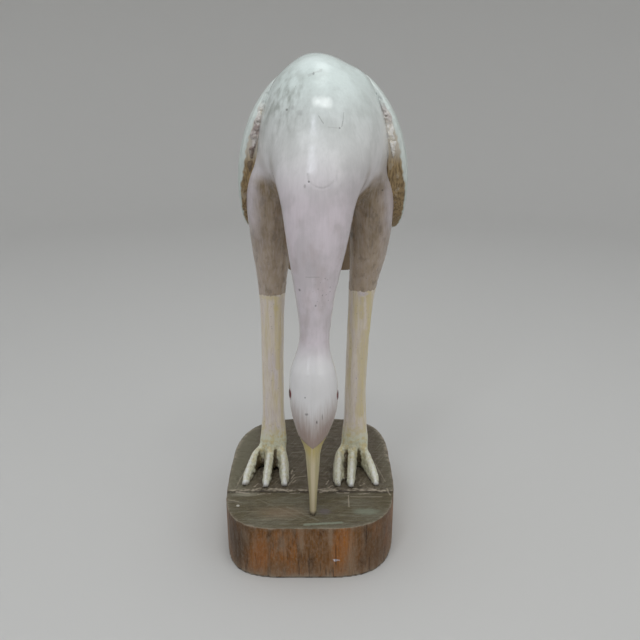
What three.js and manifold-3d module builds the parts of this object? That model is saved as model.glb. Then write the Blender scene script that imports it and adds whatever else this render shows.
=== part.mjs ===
// A wading bird carved in wood, head down to feed, standing on a thick rounded slab.
// Millimetres, +Z up. The origin is the centre of the slab's underside, and the bird faces -Y.
// Left and right are the bird's own, so its left side is at +X.

import * as THREE from 'three';
import { mergeVertices } from 'three/addons/utils/BufferGeometryUtils.js';
import Module from 'manifold-3d';

const wasm = await Module();
wasm.setup();

// Driving dimensions
const GAP = 0.3; // between two pieces that touch
const BASE = { width: 220, front: 175, back: 171, height: 68.5, sawnTo: -77, step: 3, taper: 0.99 };
// The powers of the slab's four rounded corners: 2 would be an ellipse, and more is squarer
const CORNER = { frontLeft: 3.5, frontRight: 4.2, backLeft: 3.7, backRight: 3.0 };
const BODY = {
  x: 16, y: 22, z: 500, half: 86, front: 122, back: 120, up: 120, down: 80, rump: 2.5, lean: 8, narrow: 0.16,
};
const WING = {
  y: 50, z: 465, half: 109.5, front: 230, back: 114, up: 147, down: 168, rump: 2, lean: 0, narrow: 0, thick: 16,
};
const FEATHER_CUT = { width: 2.6, depth: 1.8, count: 6, pitch: 17, first: 14 };
const SIDEWAYS = { depth: 130, bevelEnabled: false }; // a side outline drawn out past the wings' outer faces
const PAINT = { color: 0xd8d6cc, roughness: 0.4, metalness: 0 };
const WOOD = { color: 0x7a4a2a, roughness: 0.5, metalness: 0 };
const STAND = BASE.height + BASE.step; // the level that the feet stand on
// Where each leg meets its foot, and how far its thigh leans to the bird's left
const LEGS = { left: { x: 60, lean: 15 }, right: { x: -51.5, lean: 1.5 } };
const ANKLE = 8; // how far the ankles stand behind the slab's centre

// Solids and meshes

function solid(geometry) {
  geometry.deleteAttribute('normal');
  geometry.deleteAttribute('uv');
  const merged = mergeVertices(geometry, 1e-3);
  return new wasm.Manifold(new wasm.Mesh({
    numProp: 3,
    vertProperties: new Float32Array(merged.attributes.position.array),
    triVerts: new Uint32Array(merged.index.array),
  }));
}

function named(name, body, finish) {
  const { vertProperties, triVerts } = body.getMesh();
  const geometry = new THREE.BufferGeometry();
  geometry.setAttribute('position', new THREE.BufferAttribute(vertProperties, 3));
  geometry.setIndex(new THREE.BufferAttribute(triVerts, 1));
  geometry.computeVertexNormals();
  const mesh = new THREE.Mesh(geometry, new THREE.MeshStandardMaterial(finish));
  mesh.name = name;
  return mesh;
}

function join(solids) {
  return solids.reduce((whole, next) => whole.add(next));
}

// A point of a unit superellipse: a power of 2 is a circle, more is squarer, less comes to a ridge
function rounded(angle, power) {
  const bend = (v) => Math.sign(v) * Math.abs(v) ** (2 / power);
  return [bend(Math.cos(angle)), bend(Math.sin(angle))];
}

// A closed limb through cross-sections. Each section is a row of
//   [position along the limb, centre across, centre deep, half width, half depth, power]
// and the places between them follow a smooth curve. place(along, across, deep) sets a point in space.
function limb(sections, sides, rows, place, grow = 0) {
  const first = sections[0][0];
  const last = sections[sections.length - 1][0];
  const size = sections[0].length - 1;
  const curve = new THREE.CubicInterpolant(
    sections.map((row) => (row[0] - first) / (last - first)),
    sections.flatMap((row) => row.slice(1)),
    size,
    new Float32Array(size),
  );
  const geometry = new THREE.CylinderGeometry(1, 1, 1, sides, rows).rotateX(Math.PI / 2);
  const point = geometry.attributes.position;
  for (let i = 0; i < point.count; i += 1) {
    const t = 0.5 - point.getZ(i);
    const [across, deep, wide, thick, power] = curve.evaluate(t);
    const out = Math.hypot(point.getX(i), point.getY(i));
    const [c, s] = rounded(Math.atan2(point.getY(i), point.getX(i)), power);
    const where = place(
      first + (last - first) * t,
      across + out * c * (wide + grow),
      deep + out * s * (thick + grow),
    );
    point.setXYZ(i, where.x, where.y, where.z);
  }
  return solid(geometry);
}

// A limb that runs down has level sections
const downward = (along, across, deep) => new THREE.Vector3(across, deep, along);

// An egg with a different reach each way from its centre. Its rump is the power of its level outline
// behind the centre, so that more than 2 makes it fuller there. Its top leans over to the bird's right
// by lean, and is narrower by the share narrow.
function egg(centre, reach, sides, rows, grow = 0) {
  const geometry = new THREE.SphereGeometry(1, sides, rows).rotateX(Math.PI / 2);
  const point = geometry.attributes.position;
  for (let i = 0; i < point.count; i += 1) {
    const [y, z] = [point.getY(i), point.getZ(i)];
    const out = Math.hypot(point.getX(i), y);
    const [c, s] = rounded(Math.atan2(y, point.getX(i)), y < 0 ? 2 : reach.rump);
    const high = Math.max(z, 0) ** 4;
    point.setXYZ(
      i,
      centre.x - reach.lean * high + out * c * (reach.half + grow) * (1 - reach.narrow * high),
      centre.y + out * s * ((y < 0 ? reach.front : reach.back) + grow),
      centre.z + z * ((z < 0 ? reach.down : reach.up) + grow),
    );
  }
  return solid(geometry);
}

function block(x0, x1, y0, y1, z0, z1) {
  const box = new THREE.BoxGeometry(x1 - x0, y1 - y0, z1 - z0);
  return solid(box.translate((x0 + x1) / 2, (y0 + y1) / 2, (z0 + z1) / 2));
}

// The bird

function torso(grow = 0) {
  return egg(BODY, BODY, 32, 20, grow);
}

function tail(grow = 0) {
  return limb([
    [550, BODY.x, 62, 48, 42, 2],
    [500, BODY.x, 84, 62, 55, 2],
    [455, BODY.x - 1, 98, 62, 45, 2.1],
    [405, BODY.x - 2, 118, 55, 27, 2.3],
    [358, BODY.x - 4, 134, 49, 14, 2.8],
    [314, BODY.x - 5, 144, 46, 7, 3.6],
  ], 24, 10, downward, grow);
}

// Neck, head and beak hang in one line from the chest to the slab
function neck() {
  return limb([
    [570, 15, -4, 50, 68, 2],
    [528, 15, -29, 64, 69, 2],
    [486, 13.5, -62, 60, 54, 2],
    [452, 10.5, -84, 47, 38, 2],
    [405, 9, -95, 37.5, 30, 2],
    [334, 6, -101, 23.4, 22, 2],
    [286, 5.6, -107, 18.4, 18.5, 2],
    [272, 4.6, -109, 20.5, 20, 2],
    [250, 3.8, -114, 27.5, 25.5, 2],
    [223, 4.6, -118, 30, 27, 2],
    [198, 4.8, -122, 27.5, 24.5, 2],
    [172, 4, -128, 18.5, 17, 2],
    [156, 3.5, -132, 11.2, 12, 1.9],
    [129, 3.8, -134.5, 8.6, 9.5, 1.8],
    [98, 3.8, -137, 6, 7, 1.8],
    [BASE.height + GAP, 3.6, -139, 4.4, 4.6, 2],
  ], 24, 44, downward);
}

function leg({ x, lean }, grow = 0) {
  return limb([
    [505, x + lean * 0.3, ANKLE + 6, 20, 34, 2],
    [470, x + lean * 0.8, ANKLE + 6, 31, 45, 2],
    [430, x + lean, ANKLE + 4, 31, 43, 2],
    [374, x + lean * 0.96, ANKLE, 25, 30, 2],
    [310, x + lean * 0.44, ANKLE, 17, 18, 2],
    [245, x + lean * 0.16, ANKLE, 15, 15.5, 2],
    [182, x, ANKLE, 14.5, 15, 2],
    [138, x, ANKLE, 15.5, 16, 2],
    [114, x, ANKLE - 1, 19, 17, 2.1],
    [98, x, ANKLE - 1, 19, 15, 2.1],
    [STAND - 4, x, ANKLE - 1, 13, 10, 2.1],
  ], 18, 22, downward, grow);
}

// Each toe starts inside the ankle, runs forward and down to the slab, and has its crest along the top.
// out is how far its root stands from the middle of the foot, and spread how much further its tip does.
// A toe with a negative reach runs backward.
function toe(middle, out, spread, reach) {
  const turn = -Math.sign(reach);
  const section = (part, shift, height, wide, thick, power) => [
    ANKLE - reach * part, middle + out * shift[0] + spread * shift[1], turn * height, wide, thick, power,
  ];
  const upright = (along, across, deep) => new THREE.Vector3(across, along, turn * deep);
  return limb([
    section(-0.05, [0.5, 0], 84, 7, 12, 1.6),
    section(0.16, [1, 0], 80, 7.5, 23, 2),
    section(0.45, [1, 0.5], 74, 7, 19, 2.2),
    section(0.82, [1, 0.95], 71, 6.2, 12.5, 2.2),
    section(1, [1, 1], 70, 4.4, 6.5, 2.2),
  ], 8, 6, upright);
}

// Three toes forward and a short one behind; the feet turn a little to the bird's right
function foot({ x }, side) {
  const middle = x - 4;
  return [
    toe(middle, side * 18, side * 12, 72),
    toe(middle, 0, -3, 77),
    toe(middle, side * -17, side * -4, 74),
    toe(x, 0, side * 2, -38),
  ];
}

function egret() {
  const carved = join([
    torso(), tail(), neck(),
    leg(LEGS.left), leg(LEGS.right), ...foot(LEGS.left, 1), ...foot(LEGS.right, -1),
  ]);
  // the feet are cut off level with the slab
  return carved.subtract(block(-150, 150, -100, 200, 0, STAND + GAP));
}

// The wings

// The outline of a wing seen from its side, as [y, z], from the shoulder down its front edge,
// round the tip and up along the back
const WING_OUTLINE = [
  [14, 588], [-10, 553], [-16, 505], [-8, 455], [14, 419], [52, 395],
  [92, 390], [116, 424], [126, 490], [108, 552], [62, 591],
];

// Long narrow cuts between the flight feathers, which fan out from the shoulder towards the tip
function featherCuts() {
  const cuts = [];
  for (let i = 0; i < FEATHER_CUT.count; i += 1) {
    const y = FEATHER_CUT.first + i * FEATHER_CUT.pitch;
    const half = FEATHER_CUT.width / 2;
    const line = new THREE.QuadraticBezierCurve(
      new THREE.Vector2(y + 4, 512 + i * 8),
      new THREE.Vector2(y + 6, 450),
      new THREE.Vector2(60 + i * 8, 380),
    ).getPoints(4);
    const strip = new THREE.Shape([
      ...line.map((p) => new THREE.Vector2(p.x - half, p.y)),
      ...line.reverse().map((p) => new THREE.Vector2(p.x + half, p.y)),
    ]);
    cuts.push(solid(sideways(new THREE.ExtrudeGeometry(strip, SIDEWAYS))));
  }
  return join(cuts);
}

// Turns an extrusion of a side outline so that it runs outwards along X from the middle of the body
function sideways(geometry) {
  return geometry.applyMatrix4(new THREE.Matrix4().set(
    0, 0, 1, BODY.x,
    1, 0, 0, 0,
    0, 1, 0, 0,
    0, 0, 0, 1,
  ));
}

function wing(beside, side) {
  const outline = new THREE.Shape();
  outline.moveTo(...WING_OUTLINE[0]);
  const rest = [...WING_OUTLINE.slice(1), WING_OUTLINE[0]];
  outline.splineThru(rest.map(([y, z]) => new THREE.Vector2(y, z)));
  const prism = sideways(new THREE.ExtrudeGeometry(outline, { ...SIDEWAYS, curveSegments: 3 }));
  const centre = { x: BODY.x, y: WING.y, z: WING.z };
  const shell = (inset) => egg(centre, WING, 40, 24, -inset);
  let board = solid(prism).intersect(shell(0)).subtract(shell(WING.thick));
  board = board.subtract(featherCuts().subtract(shell(FEATHER_CUT.depth)));
  if (side < 0) {
    board = board.mirror([1, 0, 0]).translate([2 * BODY.x, 0, 0]);
  }
  return board.subtract(join([torso(GAP), tail(GAP), leg(beside, GAP)]));
}

// The base

function base() {
  const power = (x, y) => {
    if (y < 0) return x < 0 ? CORNER.frontRight : CORNER.frontLeft;
    return x < 0 ? CORNER.backRight : CORNER.backLeft;
  };
  const plan = new THREE.Shape();
  const corners = 72;
  for (let i = 0; i < corners; i += 1) {
    const angle = (2 * Math.PI * i) / corners;
    const [c, s] = rounded(angle, power(Math.cos(angle), Math.sin(angle)));
    plan[i ? 'lineTo' : 'moveTo'](c * BASE.width / 2, s * (s < 0 ? BASE.front : BASE.back));
  }
  const slab = new THREE.ExtrudeGeometry(plan, { depth: STAND, bevelEnabled: false });
  const point = slab.attributes.position;
  for (let i = 0; i < point.count; i += 1) {
    const draw = BASE.taper + (1 - BASE.taper) * (point.getZ(i) / STAND);
    point.setXY(i, point.getX(i) * draw, point.getY(i) * draw);
  }
  // the front part was sawn down a little lower than the part around the feet
  return solid(slab).subtract(block(-150, 150, -200, BASE.sawnTo, BASE.height, 200));
}

const bird = new THREE.Group();
bird.add(
  named('egret', egret(), PAINT),
  named('wing_left', wing(LEGS.left, 1), PAINT),
  named('wing_right', wing(LEGS.right, -1), PAINT),
  named('base', base(), WOOD),
);

export default bird;
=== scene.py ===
"""A wading bird carved in wood, head down to feed, with a board for each wing, on a thick rounded slab.

The frame's solids give each piece its place and main form. Each piece here is an even fine mesh of such a
solid, softened as a carver's sandpaper would, with the small forms cut into it by rules of place. Paint,
bare wood, filler, wear and some painted light and shade are shader nodes that read the place in the object.

The frame is in metres, +Z up. The bird faces -Y, and left and right are its own, so its left is at +X.
Sizes of the carving are written in millimetres and turned into metres by MM.
"""

import logging
import math
from collections.abc import Callable, Sequence
from dataclasses import dataclass, field
from enum import Enum

import bmesh
import bpy
import numpy as np
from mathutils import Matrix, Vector, noise
from mathutils.bvhtree import BVHTree


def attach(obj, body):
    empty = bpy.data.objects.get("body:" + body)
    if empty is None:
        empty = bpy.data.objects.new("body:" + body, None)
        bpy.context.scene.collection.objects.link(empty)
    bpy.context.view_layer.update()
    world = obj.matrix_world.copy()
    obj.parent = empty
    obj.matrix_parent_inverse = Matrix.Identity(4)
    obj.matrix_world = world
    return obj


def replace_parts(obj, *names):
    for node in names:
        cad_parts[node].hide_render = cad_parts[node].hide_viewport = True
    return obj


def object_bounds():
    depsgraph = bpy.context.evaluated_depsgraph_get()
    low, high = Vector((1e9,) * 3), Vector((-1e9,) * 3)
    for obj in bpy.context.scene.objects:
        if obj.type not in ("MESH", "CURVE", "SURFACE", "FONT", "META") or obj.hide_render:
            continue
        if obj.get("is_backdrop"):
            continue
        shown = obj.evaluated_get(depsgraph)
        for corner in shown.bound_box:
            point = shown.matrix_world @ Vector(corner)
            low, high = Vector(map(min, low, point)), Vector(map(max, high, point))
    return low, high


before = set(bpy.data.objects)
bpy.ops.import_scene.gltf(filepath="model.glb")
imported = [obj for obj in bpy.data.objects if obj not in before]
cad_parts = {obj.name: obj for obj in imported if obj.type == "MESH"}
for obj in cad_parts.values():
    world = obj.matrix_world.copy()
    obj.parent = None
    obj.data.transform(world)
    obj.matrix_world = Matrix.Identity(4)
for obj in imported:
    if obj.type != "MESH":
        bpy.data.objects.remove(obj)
cad_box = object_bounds()

MM = 0.001
# The slab's top, the sawn part in front of it, and the Y of the ledge between them, in millimetres
STAND = 71.5
SAWN = 68.5
LEDGE = -77.0
log = logging.getLogger("egret")

Socket = bpy.types.NodeSocket
Tint = tuple[float, float, float, float]
Term = Socket | float | tuple[float, ...]
Place = tuple[float, float, float]
Point = tuple[float, float]
Line = tuple[Point, ...]


class Side(Enum):
    """A side of the bird, with the sign of X there."""

    LEFT = 1
    RIGHT = -1


class Slot(Enum):
    """The material slots of the record."""

    PAINT = "painted_wood"
    WOOD = "base_wood"
    FILLER = "filler"


class Effect(Enum):
    """The patterns that more than one finish uses, each a shader node group."""

    CLOUDS = "soft_clouds"
    SPECKS = "small_specks"
    STROKE = "long_mark"
    SPOT = "round_mark"


def ease(low: float, high: float, value: float) -> float:
    """Eases from 0 to 1.

    Args:
        low: Where the result is 0; it may be the greater of the two.
        high: Where the result is 1.
        value: What is eased.

    Returns:
        0 to 1, level at both ends.
    """
    part = min(max((value - low) / (high - low), 0.0), 1.0)
    return part * part * (3.0 - 2.0 * part)


def rough(x: float, y: float, z: float, size: float, seed: float = 0.0) -> float:
    """Even random unevenness of the given size, from about -1 to 1.

    Args:
        x: Place in millimetres.
        y: Place in millimetres.
        z: Place in millimetres.
        size: The usual distance from one swelling to the next, in millimetres.
        seed: Picks another pattern.

    Returns:
        The height there.
    """
    return noise.noise(Vector((x / size + seed, y / size - seed, z / size + 2.0 * seed)))


def tint(red: float, green: float, blue: float) -> Tint:
    """A paint colour.

    Args:
        red: 0 to 255, as a screen shows it.
        green: 0 to 255.
        blue: 0 to 255.

    Returns:
        The same colour as the shader needs it.
    """
    shares = [value / 255 for value in (red, green, blue)]
    linear = [((s + 0.055) / 1.055) ** 2.4 if s > 0.04045 else s / 12.92 for s in shares]
    return (*linear, 1.0)


# Shader nodes


class Recipe:
    """Adds nodes to one tree and joins them, so that a finish reads as a row of masks and mixes."""

    def __init__(self, tree: bpy.types.NodeTree) -> None:
        """Works on the given tree."""
        self.tree = tree

    def add(self, kind: str, inputs: dict[str, Term], **settings: object) -> bpy.types.Node:
        """Adds a node.

        Args:
            kind: The node's Blender type.
            inputs: A value or another node's socket for each input, by identifier or name.
            **settings: The node's own properties.

        Returns:
            The node.
        """
        node = self.tree.nodes.new(kind)
        for key, value in settings.items():
            setattr(node, key, value)
        sockets = {s.name: s for s in reversed(node.inputs)} | {s.identifier: s for s in node.inputs}
        for key, term in inputs.items():
            if isinstance(term, Socket):
                self.tree.links.new(term, sockets[key])
            else:
                sockets[key].default_value = term
        return node

    def math(self, operation: str, *terms: Term) -> Socket:
        """The result of a Math node on one to three terms."""
        names = ("Value", "Value_001", "Value_002")
        return self.add("ShaderNodeMath", dict(zip(names, terms)), operation=operation).outputs[0]

    def vector(self, operation: str, *terms: Term, out: str = "Vector") -> Socket:
        """The result of a Vector Math node on one to three terms."""
        names = ("Vector", "Vector_001", "Vector_002")
        return self.add("ShaderNodeVectorMath", dict(zip(names, terms)), operation=operation).outputs[out]

    def scale(self, vector: Term, by: Term) -> Socket:
        """A vector times a number."""
        return self.add("ShaderNodeVectorMath", {"Vector": vector, "Scale": by}, operation="SCALE").outputs[0]

    def ease(self, value: Term, low: Term, high: Term) -> Socket:
        """A value eased from 0 at low to 1 at high; low may be the greater."""
        inputs = {"Value": value, "From Min": low, "From Max": high}
        return self.add("ShaderNodeMapRange", inputs, interpolation_type="SMOOTHSTEP").outputs[0]

    def attribute(self, name: str) -> Socket:
        """A value that the piece keeps at each of its points."""
        return self.add("ShaderNodeAttribute", {}, attribute_name=name).outputs["Fac"]

    def both(self, *masks: Term) -> Socket:
        """Masks multiplied together.

        Args:
            *masks: The masks.

        Returns:
            Their product.
        """
        result = masks[0]
        for mask in masks[1:]:
            result = self.math("MULTIPLY", result, mask)
        return result

    def mix(self, mask: Term, under: Term, over: Term) -> Socket:
        """One colour over another, as far as the mask lets it."""
        inputs = {"Factor_Float": mask, "A_Color": under, "B_Color": over}
        return self.add("ShaderNodeMix", inputs, data_type="RGBA").outputs[2]

    def effect(self, kind: Effect, place: Term, **inputs: Term) -> Socket:
        """Places one of the shared effects.

        Args:
            kind: Which effect.
            place: The place in millimetres.
            **inputs: The effect's own inputs by name.

        Returns:
            Its mask.
        """
        tree = EFFECTS.tree(kind)
        return self.add("ShaderNodeGroup", {"Place": place} | inputs, node_tree=tree).outputs["Mask"]


class Effects:
    """The shared node groups. Each is built when it is first placed; all of them work in millimetres."""

    def __init__(self) -> None:
        """Starts with none built."""
        self.trees: dict[Effect, bpy.types.NodeTree] = {}

    def tree(self, kind: Effect) -> bpy.types.NodeTree:
        """The node group of an effect, built once.

        Args:
            kind: Which effect.

        Returns:
            Its node group.
        """
        if kind not in self.trees:
            build = {
                Effect.CLOUDS: self.clouds,
                Effect.SPECKS: self.specks,
                Effect.STROKE: self.stroke,
                Effect.SPOT: self.spot,
            }[kind]
            self.trees[kind] = build(kind.value)
        return self.trees[kind]

    @staticmethod
    def group(name: str, inputs: dict[str, float | Place]) -> tuple[Recipe, dict[str, Socket]]:
        """Starts a node group with one mask as its output.

        Args:
            name: The group's name.
            inputs: The name and starting value of each input.

        Returns:
            A recipe for the group's tree, and its inputs as sockets inside it.
        """
        tree = bpy.data.node_groups.new(name, "ShaderNodeTree")
        for key, start in inputs.items():
            kind = "NodeSocketVector" if isinstance(start, tuple) else "NodeSocketFloat"
            tree.interface.new_socket(name=key, in_out="INPUT", socket_type=kind).default_value = start
        tree.interface.new_socket(name="Mask", in_out="OUTPUT", socket_type="NodeSocketFloat")
        recipe = Recipe(tree)
        source = recipe.add("NodeGroupInput", {})
        return recipe, {s.name: s for s in source.outputs if s.name}

    @staticmethod
    def close(recipe: Recipe, mask: Socket) -> bpy.types.NodeTree:
        """Ends a node group with its mask."""
        recipe.add("NodeGroupOutput", {"Mask": mask})
        return recipe.tree

    def clouds(self, name: str) -> bpy.types.NodeTree:
        """Soft clouds, drawn out along the axes whose Grain is small.

        Args:
            name: The group's name.

        Returns:
            The node group.
        """
        start = {"Place": (0.0, 0.0, 0.0), "Grain": (0.1, 0.1, 0.1), "Detail": 3.0, "Low": 0.45, "High": 0.6}
        recipe, given = self.group(name, start)
        at = recipe.vector("MULTIPLY", given["Place"], given["Grain"])
        inputs = {"Vector": at, "Scale": 1.0, "Detail": given["Detail"], "Roughness": 0.55}
        cloud = recipe.add("ShaderNodeTexNoise", inputs).outputs["Fac"]
        return self.close(recipe, recipe.ease(cloud, given["Low"], given["High"]))

    def specks(self, name: str) -> bpy.types.NodeTree:
        """Small round specks on a share of the cells of a loose net.

        Args:
            name: The group's name.

        Returns:
            The node group.
        """
        start = {"Place": (0.0, 0.0, 0.0), "Spacing": 8.0, "Size": 0.12, "Share": 0.2}
        recipe, given = self.group(name, start)
        scale = recipe.math("DIVIDE", 1.0, given["Spacing"])
        cells = recipe.add("ShaderNodeTexVoronoi", {"Vector": given["Place"], "Scale": scale})
        red = recipe.add("ShaderNodeSeparateColor", {"Color": cells.outputs["Color"]}).outputs[0]
        chosen = recipe.math("LESS_THAN", red, given["Share"])
        inner = recipe.math("MULTIPLY", given["Size"], 0.4)
        dot = recipe.ease(cells.outputs["Distance"], given["Size"], inner)
        return self.close(recipe, recipe.both(dot, chosen))

    def shaken(self, name: str, inputs: dict[str, float | Place]) -> tuple[Recipe, dict[str, Socket], Socket]:
        """Starts a node group whose place is shifted by Shake, as far as Ragged says.

        Args:
            name: The group's name.
            inputs: The name and starting value of its own inputs.

        Returns:
            A recipe for the group's tree, its inputs inside it, and the shifted place.
        """
        zero = (0.0, 0.0, 0.0)
        recipe, given = self.group(name, {"Place": zero, "Shake": zero, "Ragged": 0.3} | inputs)
        shift = recipe.scale(given["Shake"], given["Ragged"])
        return recipe, given, recipe.vector("ADD", given["Place"], shift)

    def stroke(self, name: str) -> bpy.types.NodeTree:
        """A thin mark from Start to End, seen along the axis that Plane leaves out.

        Args:
            name: The group's name.

        Returns:
            The node group.
        """
        zero = (0.0, 0.0, 0.0)
        start = {"Start": zero, "End": zero, "Plane": (1.0, 0.0, 1.0), "Width": 1.0}
        recipe, given, at = self.shaken(name, start)
        whole = recipe.vector("SUBTRACT", given["End"], given["Start"])
        run = recipe.vector("MULTIPLY", whole, given["Plane"])
        out = recipe.vector("MULTIPLY", recipe.vector("SUBTRACT", at, given["Start"]), given["Plane"])
        along = recipe.vector("DOT_PRODUCT", out, run, out="Value")
        length = recipe.vector("DOT_PRODUCT", run, run, out="Value")
        share = recipe.add("ShaderNodeClamp", {"Value": recipe.math("DIVIDE", along, length)}).outputs[0]
        gap = recipe.vector("DISTANCE", out, recipe.scale(run, share), out="Value")
        core = recipe.math("MULTIPLY", given["Width"], 0.35)
        return self.close(recipe, recipe.ease(gap, given["Width"], core))

    def spot(self, name: str) -> bpy.types.NodeTree:
        """A patch around Centre that reaches as far as Reach along each axis.

        Args:
            name: The group's name.

        Returns:
            The node group.
        """
        start = {"Centre": (0.0, 0.0, 0.0), "Reach": (5.0, 5.0, 5.0), "Soft": 0.4}
        recipe, given, at = self.shaken(name, start)
        out = recipe.vector("DIVIDE", recipe.vector("SUBTRACT", at, given["Centre"]), given["Reach"])
        gap = recipe.vector("LENGTH", out, out="Value")
        outer = recipe.math("ADD", 1.0, given["Soft"])
        inner = recipe.math("SUBTRACT", 1.0, given["Soft"])
        return self.close(recipe, recipe.ease(gap, outer, inner))


EFFECTS = Effects()


@dataclass(frozen=True)
class Cloud:
    """A soft uneven pattern, drawn out along the axes whose grain, in turns per millimetre, is small."""

    grain: Place
    low: float
    high: float
    detail: float = 5.0


@dataclass(frozen=True)
class Mark:
    """A scratch, smear or patch on a finish, in millimetres."""

    start: Place
    colour: Tint
    strength: float = 0.8
    end: Place | None = None
    width: float = 1.0
    plane: Place = (1.0, 0.0, 1.0)
    reach: Place = (4.0, 4.0, 4.0)
    soft: float = 0.4
    ragged: float = 0.3

    @property
    def kind(self) -> Effect:
        """A stroke where it has an end, and a spot where it has none."""
        return Effect.SPOT if self.end is None else Effect.STROKE

    def shape(self) -> dict[str, Term]:
        """The inputs that its effect takes.

        Returns:
            Each input's value by name.
        """
        if self.end is None:
            own = {"Centre": self.start, "Reach": self.reach, "Soft": self.soft}
        else:
            own = {"Start": self.start, "End": self.end, "Plane": self.plane, "Width": self.width}
        return own | {"Ragged": self.ragged}


class Surface(Recipe):
    """A recipe for one material, with the place on the piece in millimetres."""

    def __init__(self, tree: bpy.types.NodeTree) -> None:
        """Reads the place in the object.

        Args:
            tree: The material's node tree.
        """
        super().__init__(tree)
        self.place = self.scale(self.add("ShaderNodeTexCoord", {}).outputs["Object"], 1.0 / MM)
        self.x, self.y, self.z = self.add("ShaderNodeSeparateXYZ", {"Vector": self.place}).outputs

    def aside(self, middle: float) -> Socket:
        """How far the place lies to either side of an upright middle plane."""
        return self.math("ABSOLUTE", self.math("SUBTRACT", self.x, middle))

    def cloud(self, cloud: Cloud, place: Term | None = None) -> Socket:
        """The mask of a soft pattern, which may be read at another place."""
        inputs = {"Grain": cloud.grain, "Detail": cloud.detail, "Low": cloud.low, "High": cloud.high}
        return self.effect(Effect.CLOUDS, self.place if place is None else place, **inputs)

    def specks(self, spacing: float, size: float, share: float) -> Socket:
        """The mask of small specks on a share of the cells; their size is in cells."""
        return self.effect(Effect.SPECKS, self.place, Spacing=spacing, Size=size, Share=share)

    def spot(self, centre: Place, reach: Place, soft: float) -> Socket:
        """The mask of a soft patch."""
        return self.effect(Effect.SPOT, self.place, Centre=centre, Reach=reach, Soft=soft)


class Coat:
    """Colours laid over one another on a surface."""

    # How fine the shaking of a mark's outline is, and how far it goes in millimetres
    shake_scale: float = 0.28
    shake: float = 4.0

    def __init__(self, at: Surface, colour: Term) -> None:
        """Starts with the colour of the ground."""
        self.at = at
        self.colour = colour

    def lay(self, colour: Term, *masks: Term | Cloud, share: float | None = None) -> "Coat":
        """Lays a colour over the rest.

        Args:
            colour: The colour on top.
            *masks: Where it covers, as masks or as patterns.
            share: How much it covers there, or None for all.

        Returns:
            The coat itself.
        """
        terms = [self.at.cloud(mask) if isinstance(mask, Cloud) else mask for mask in masks]
        if share is not None:
            terms.append(share)
        self.colour = self.at.mix(self.at.both(*terms), self.colour, colour)
        return self

    def mark(self, marks: Sequence[Mark], where: Term = 1.0) -> "Coat":
        """Paints a row of marks.

        Args:
            marks: The marks, the lowest first.
            where: A mask that keeps them to one side.

        Returns:
            The coat itself.
        """
        at = self.at
        noise_inputs = {"Vector": at.place, "Scale": self.shake_scale, "Detail": 4.0}
        uneven = at.add("ShaderNodeTexNoise", noise_inputs).outputs["Color"]
        shake = at.vector("MULTIPLY_ADD", uneven, (self.shake,) * 3, (-self.shake / 2,) * 3)
        for mark in marks:
            mask = at.effect(mark.kind, at.place, Shake=shake, **mark.shape())
            self.lay(mark.colour, mask, mark.strength, where)
        return self


@dataclass(frozen=True)
class Finish:
    """A material. Each kind of surface paints itself in its own way."""

    name: str
    gloss_roughness: float = 0.4
    relief: float = 0.3
    shine: float = 0.5

    def paint(self, at: Surface) -> tuple[Term, Term, Term]:
        """Works out the surface.

        Args:
            at: The material's surface.

        Returns:
            The colour, the roughness and the height, which is in millimetres.
        """
        raise NotImplementedError

    def build(self) -> bpy.types.Material:
        """Makes the material.

        Returns:
            The material.
        """
        material = bpy.data.materials.new(self.name)
        material.use_nodes = True
        material.node_tree.nodes.clear()
        at = Surface(material.node_tree)
        colour, roughness, height = self.paint(at)
        bump = at.add("ShaderNodeBump", {"Height": height, "Strength": 1.0, "Distance": MM * self.relief})
        inputs = {"Base Color": colour, "Roughness": roughness, "Normal": bump.outputs[0]}
        shader = at.add("ShaderNodeBsdfPrincipled", inputs | {"Specular IOR Level": self.shine})
        at.add("ShaderNodeOutputMaterial", {"Surface": shader.outputs[0]})
        return material


# The bird's paint

# Lilac: real patches on the legs, and painted shade down the neck and lower body
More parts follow.
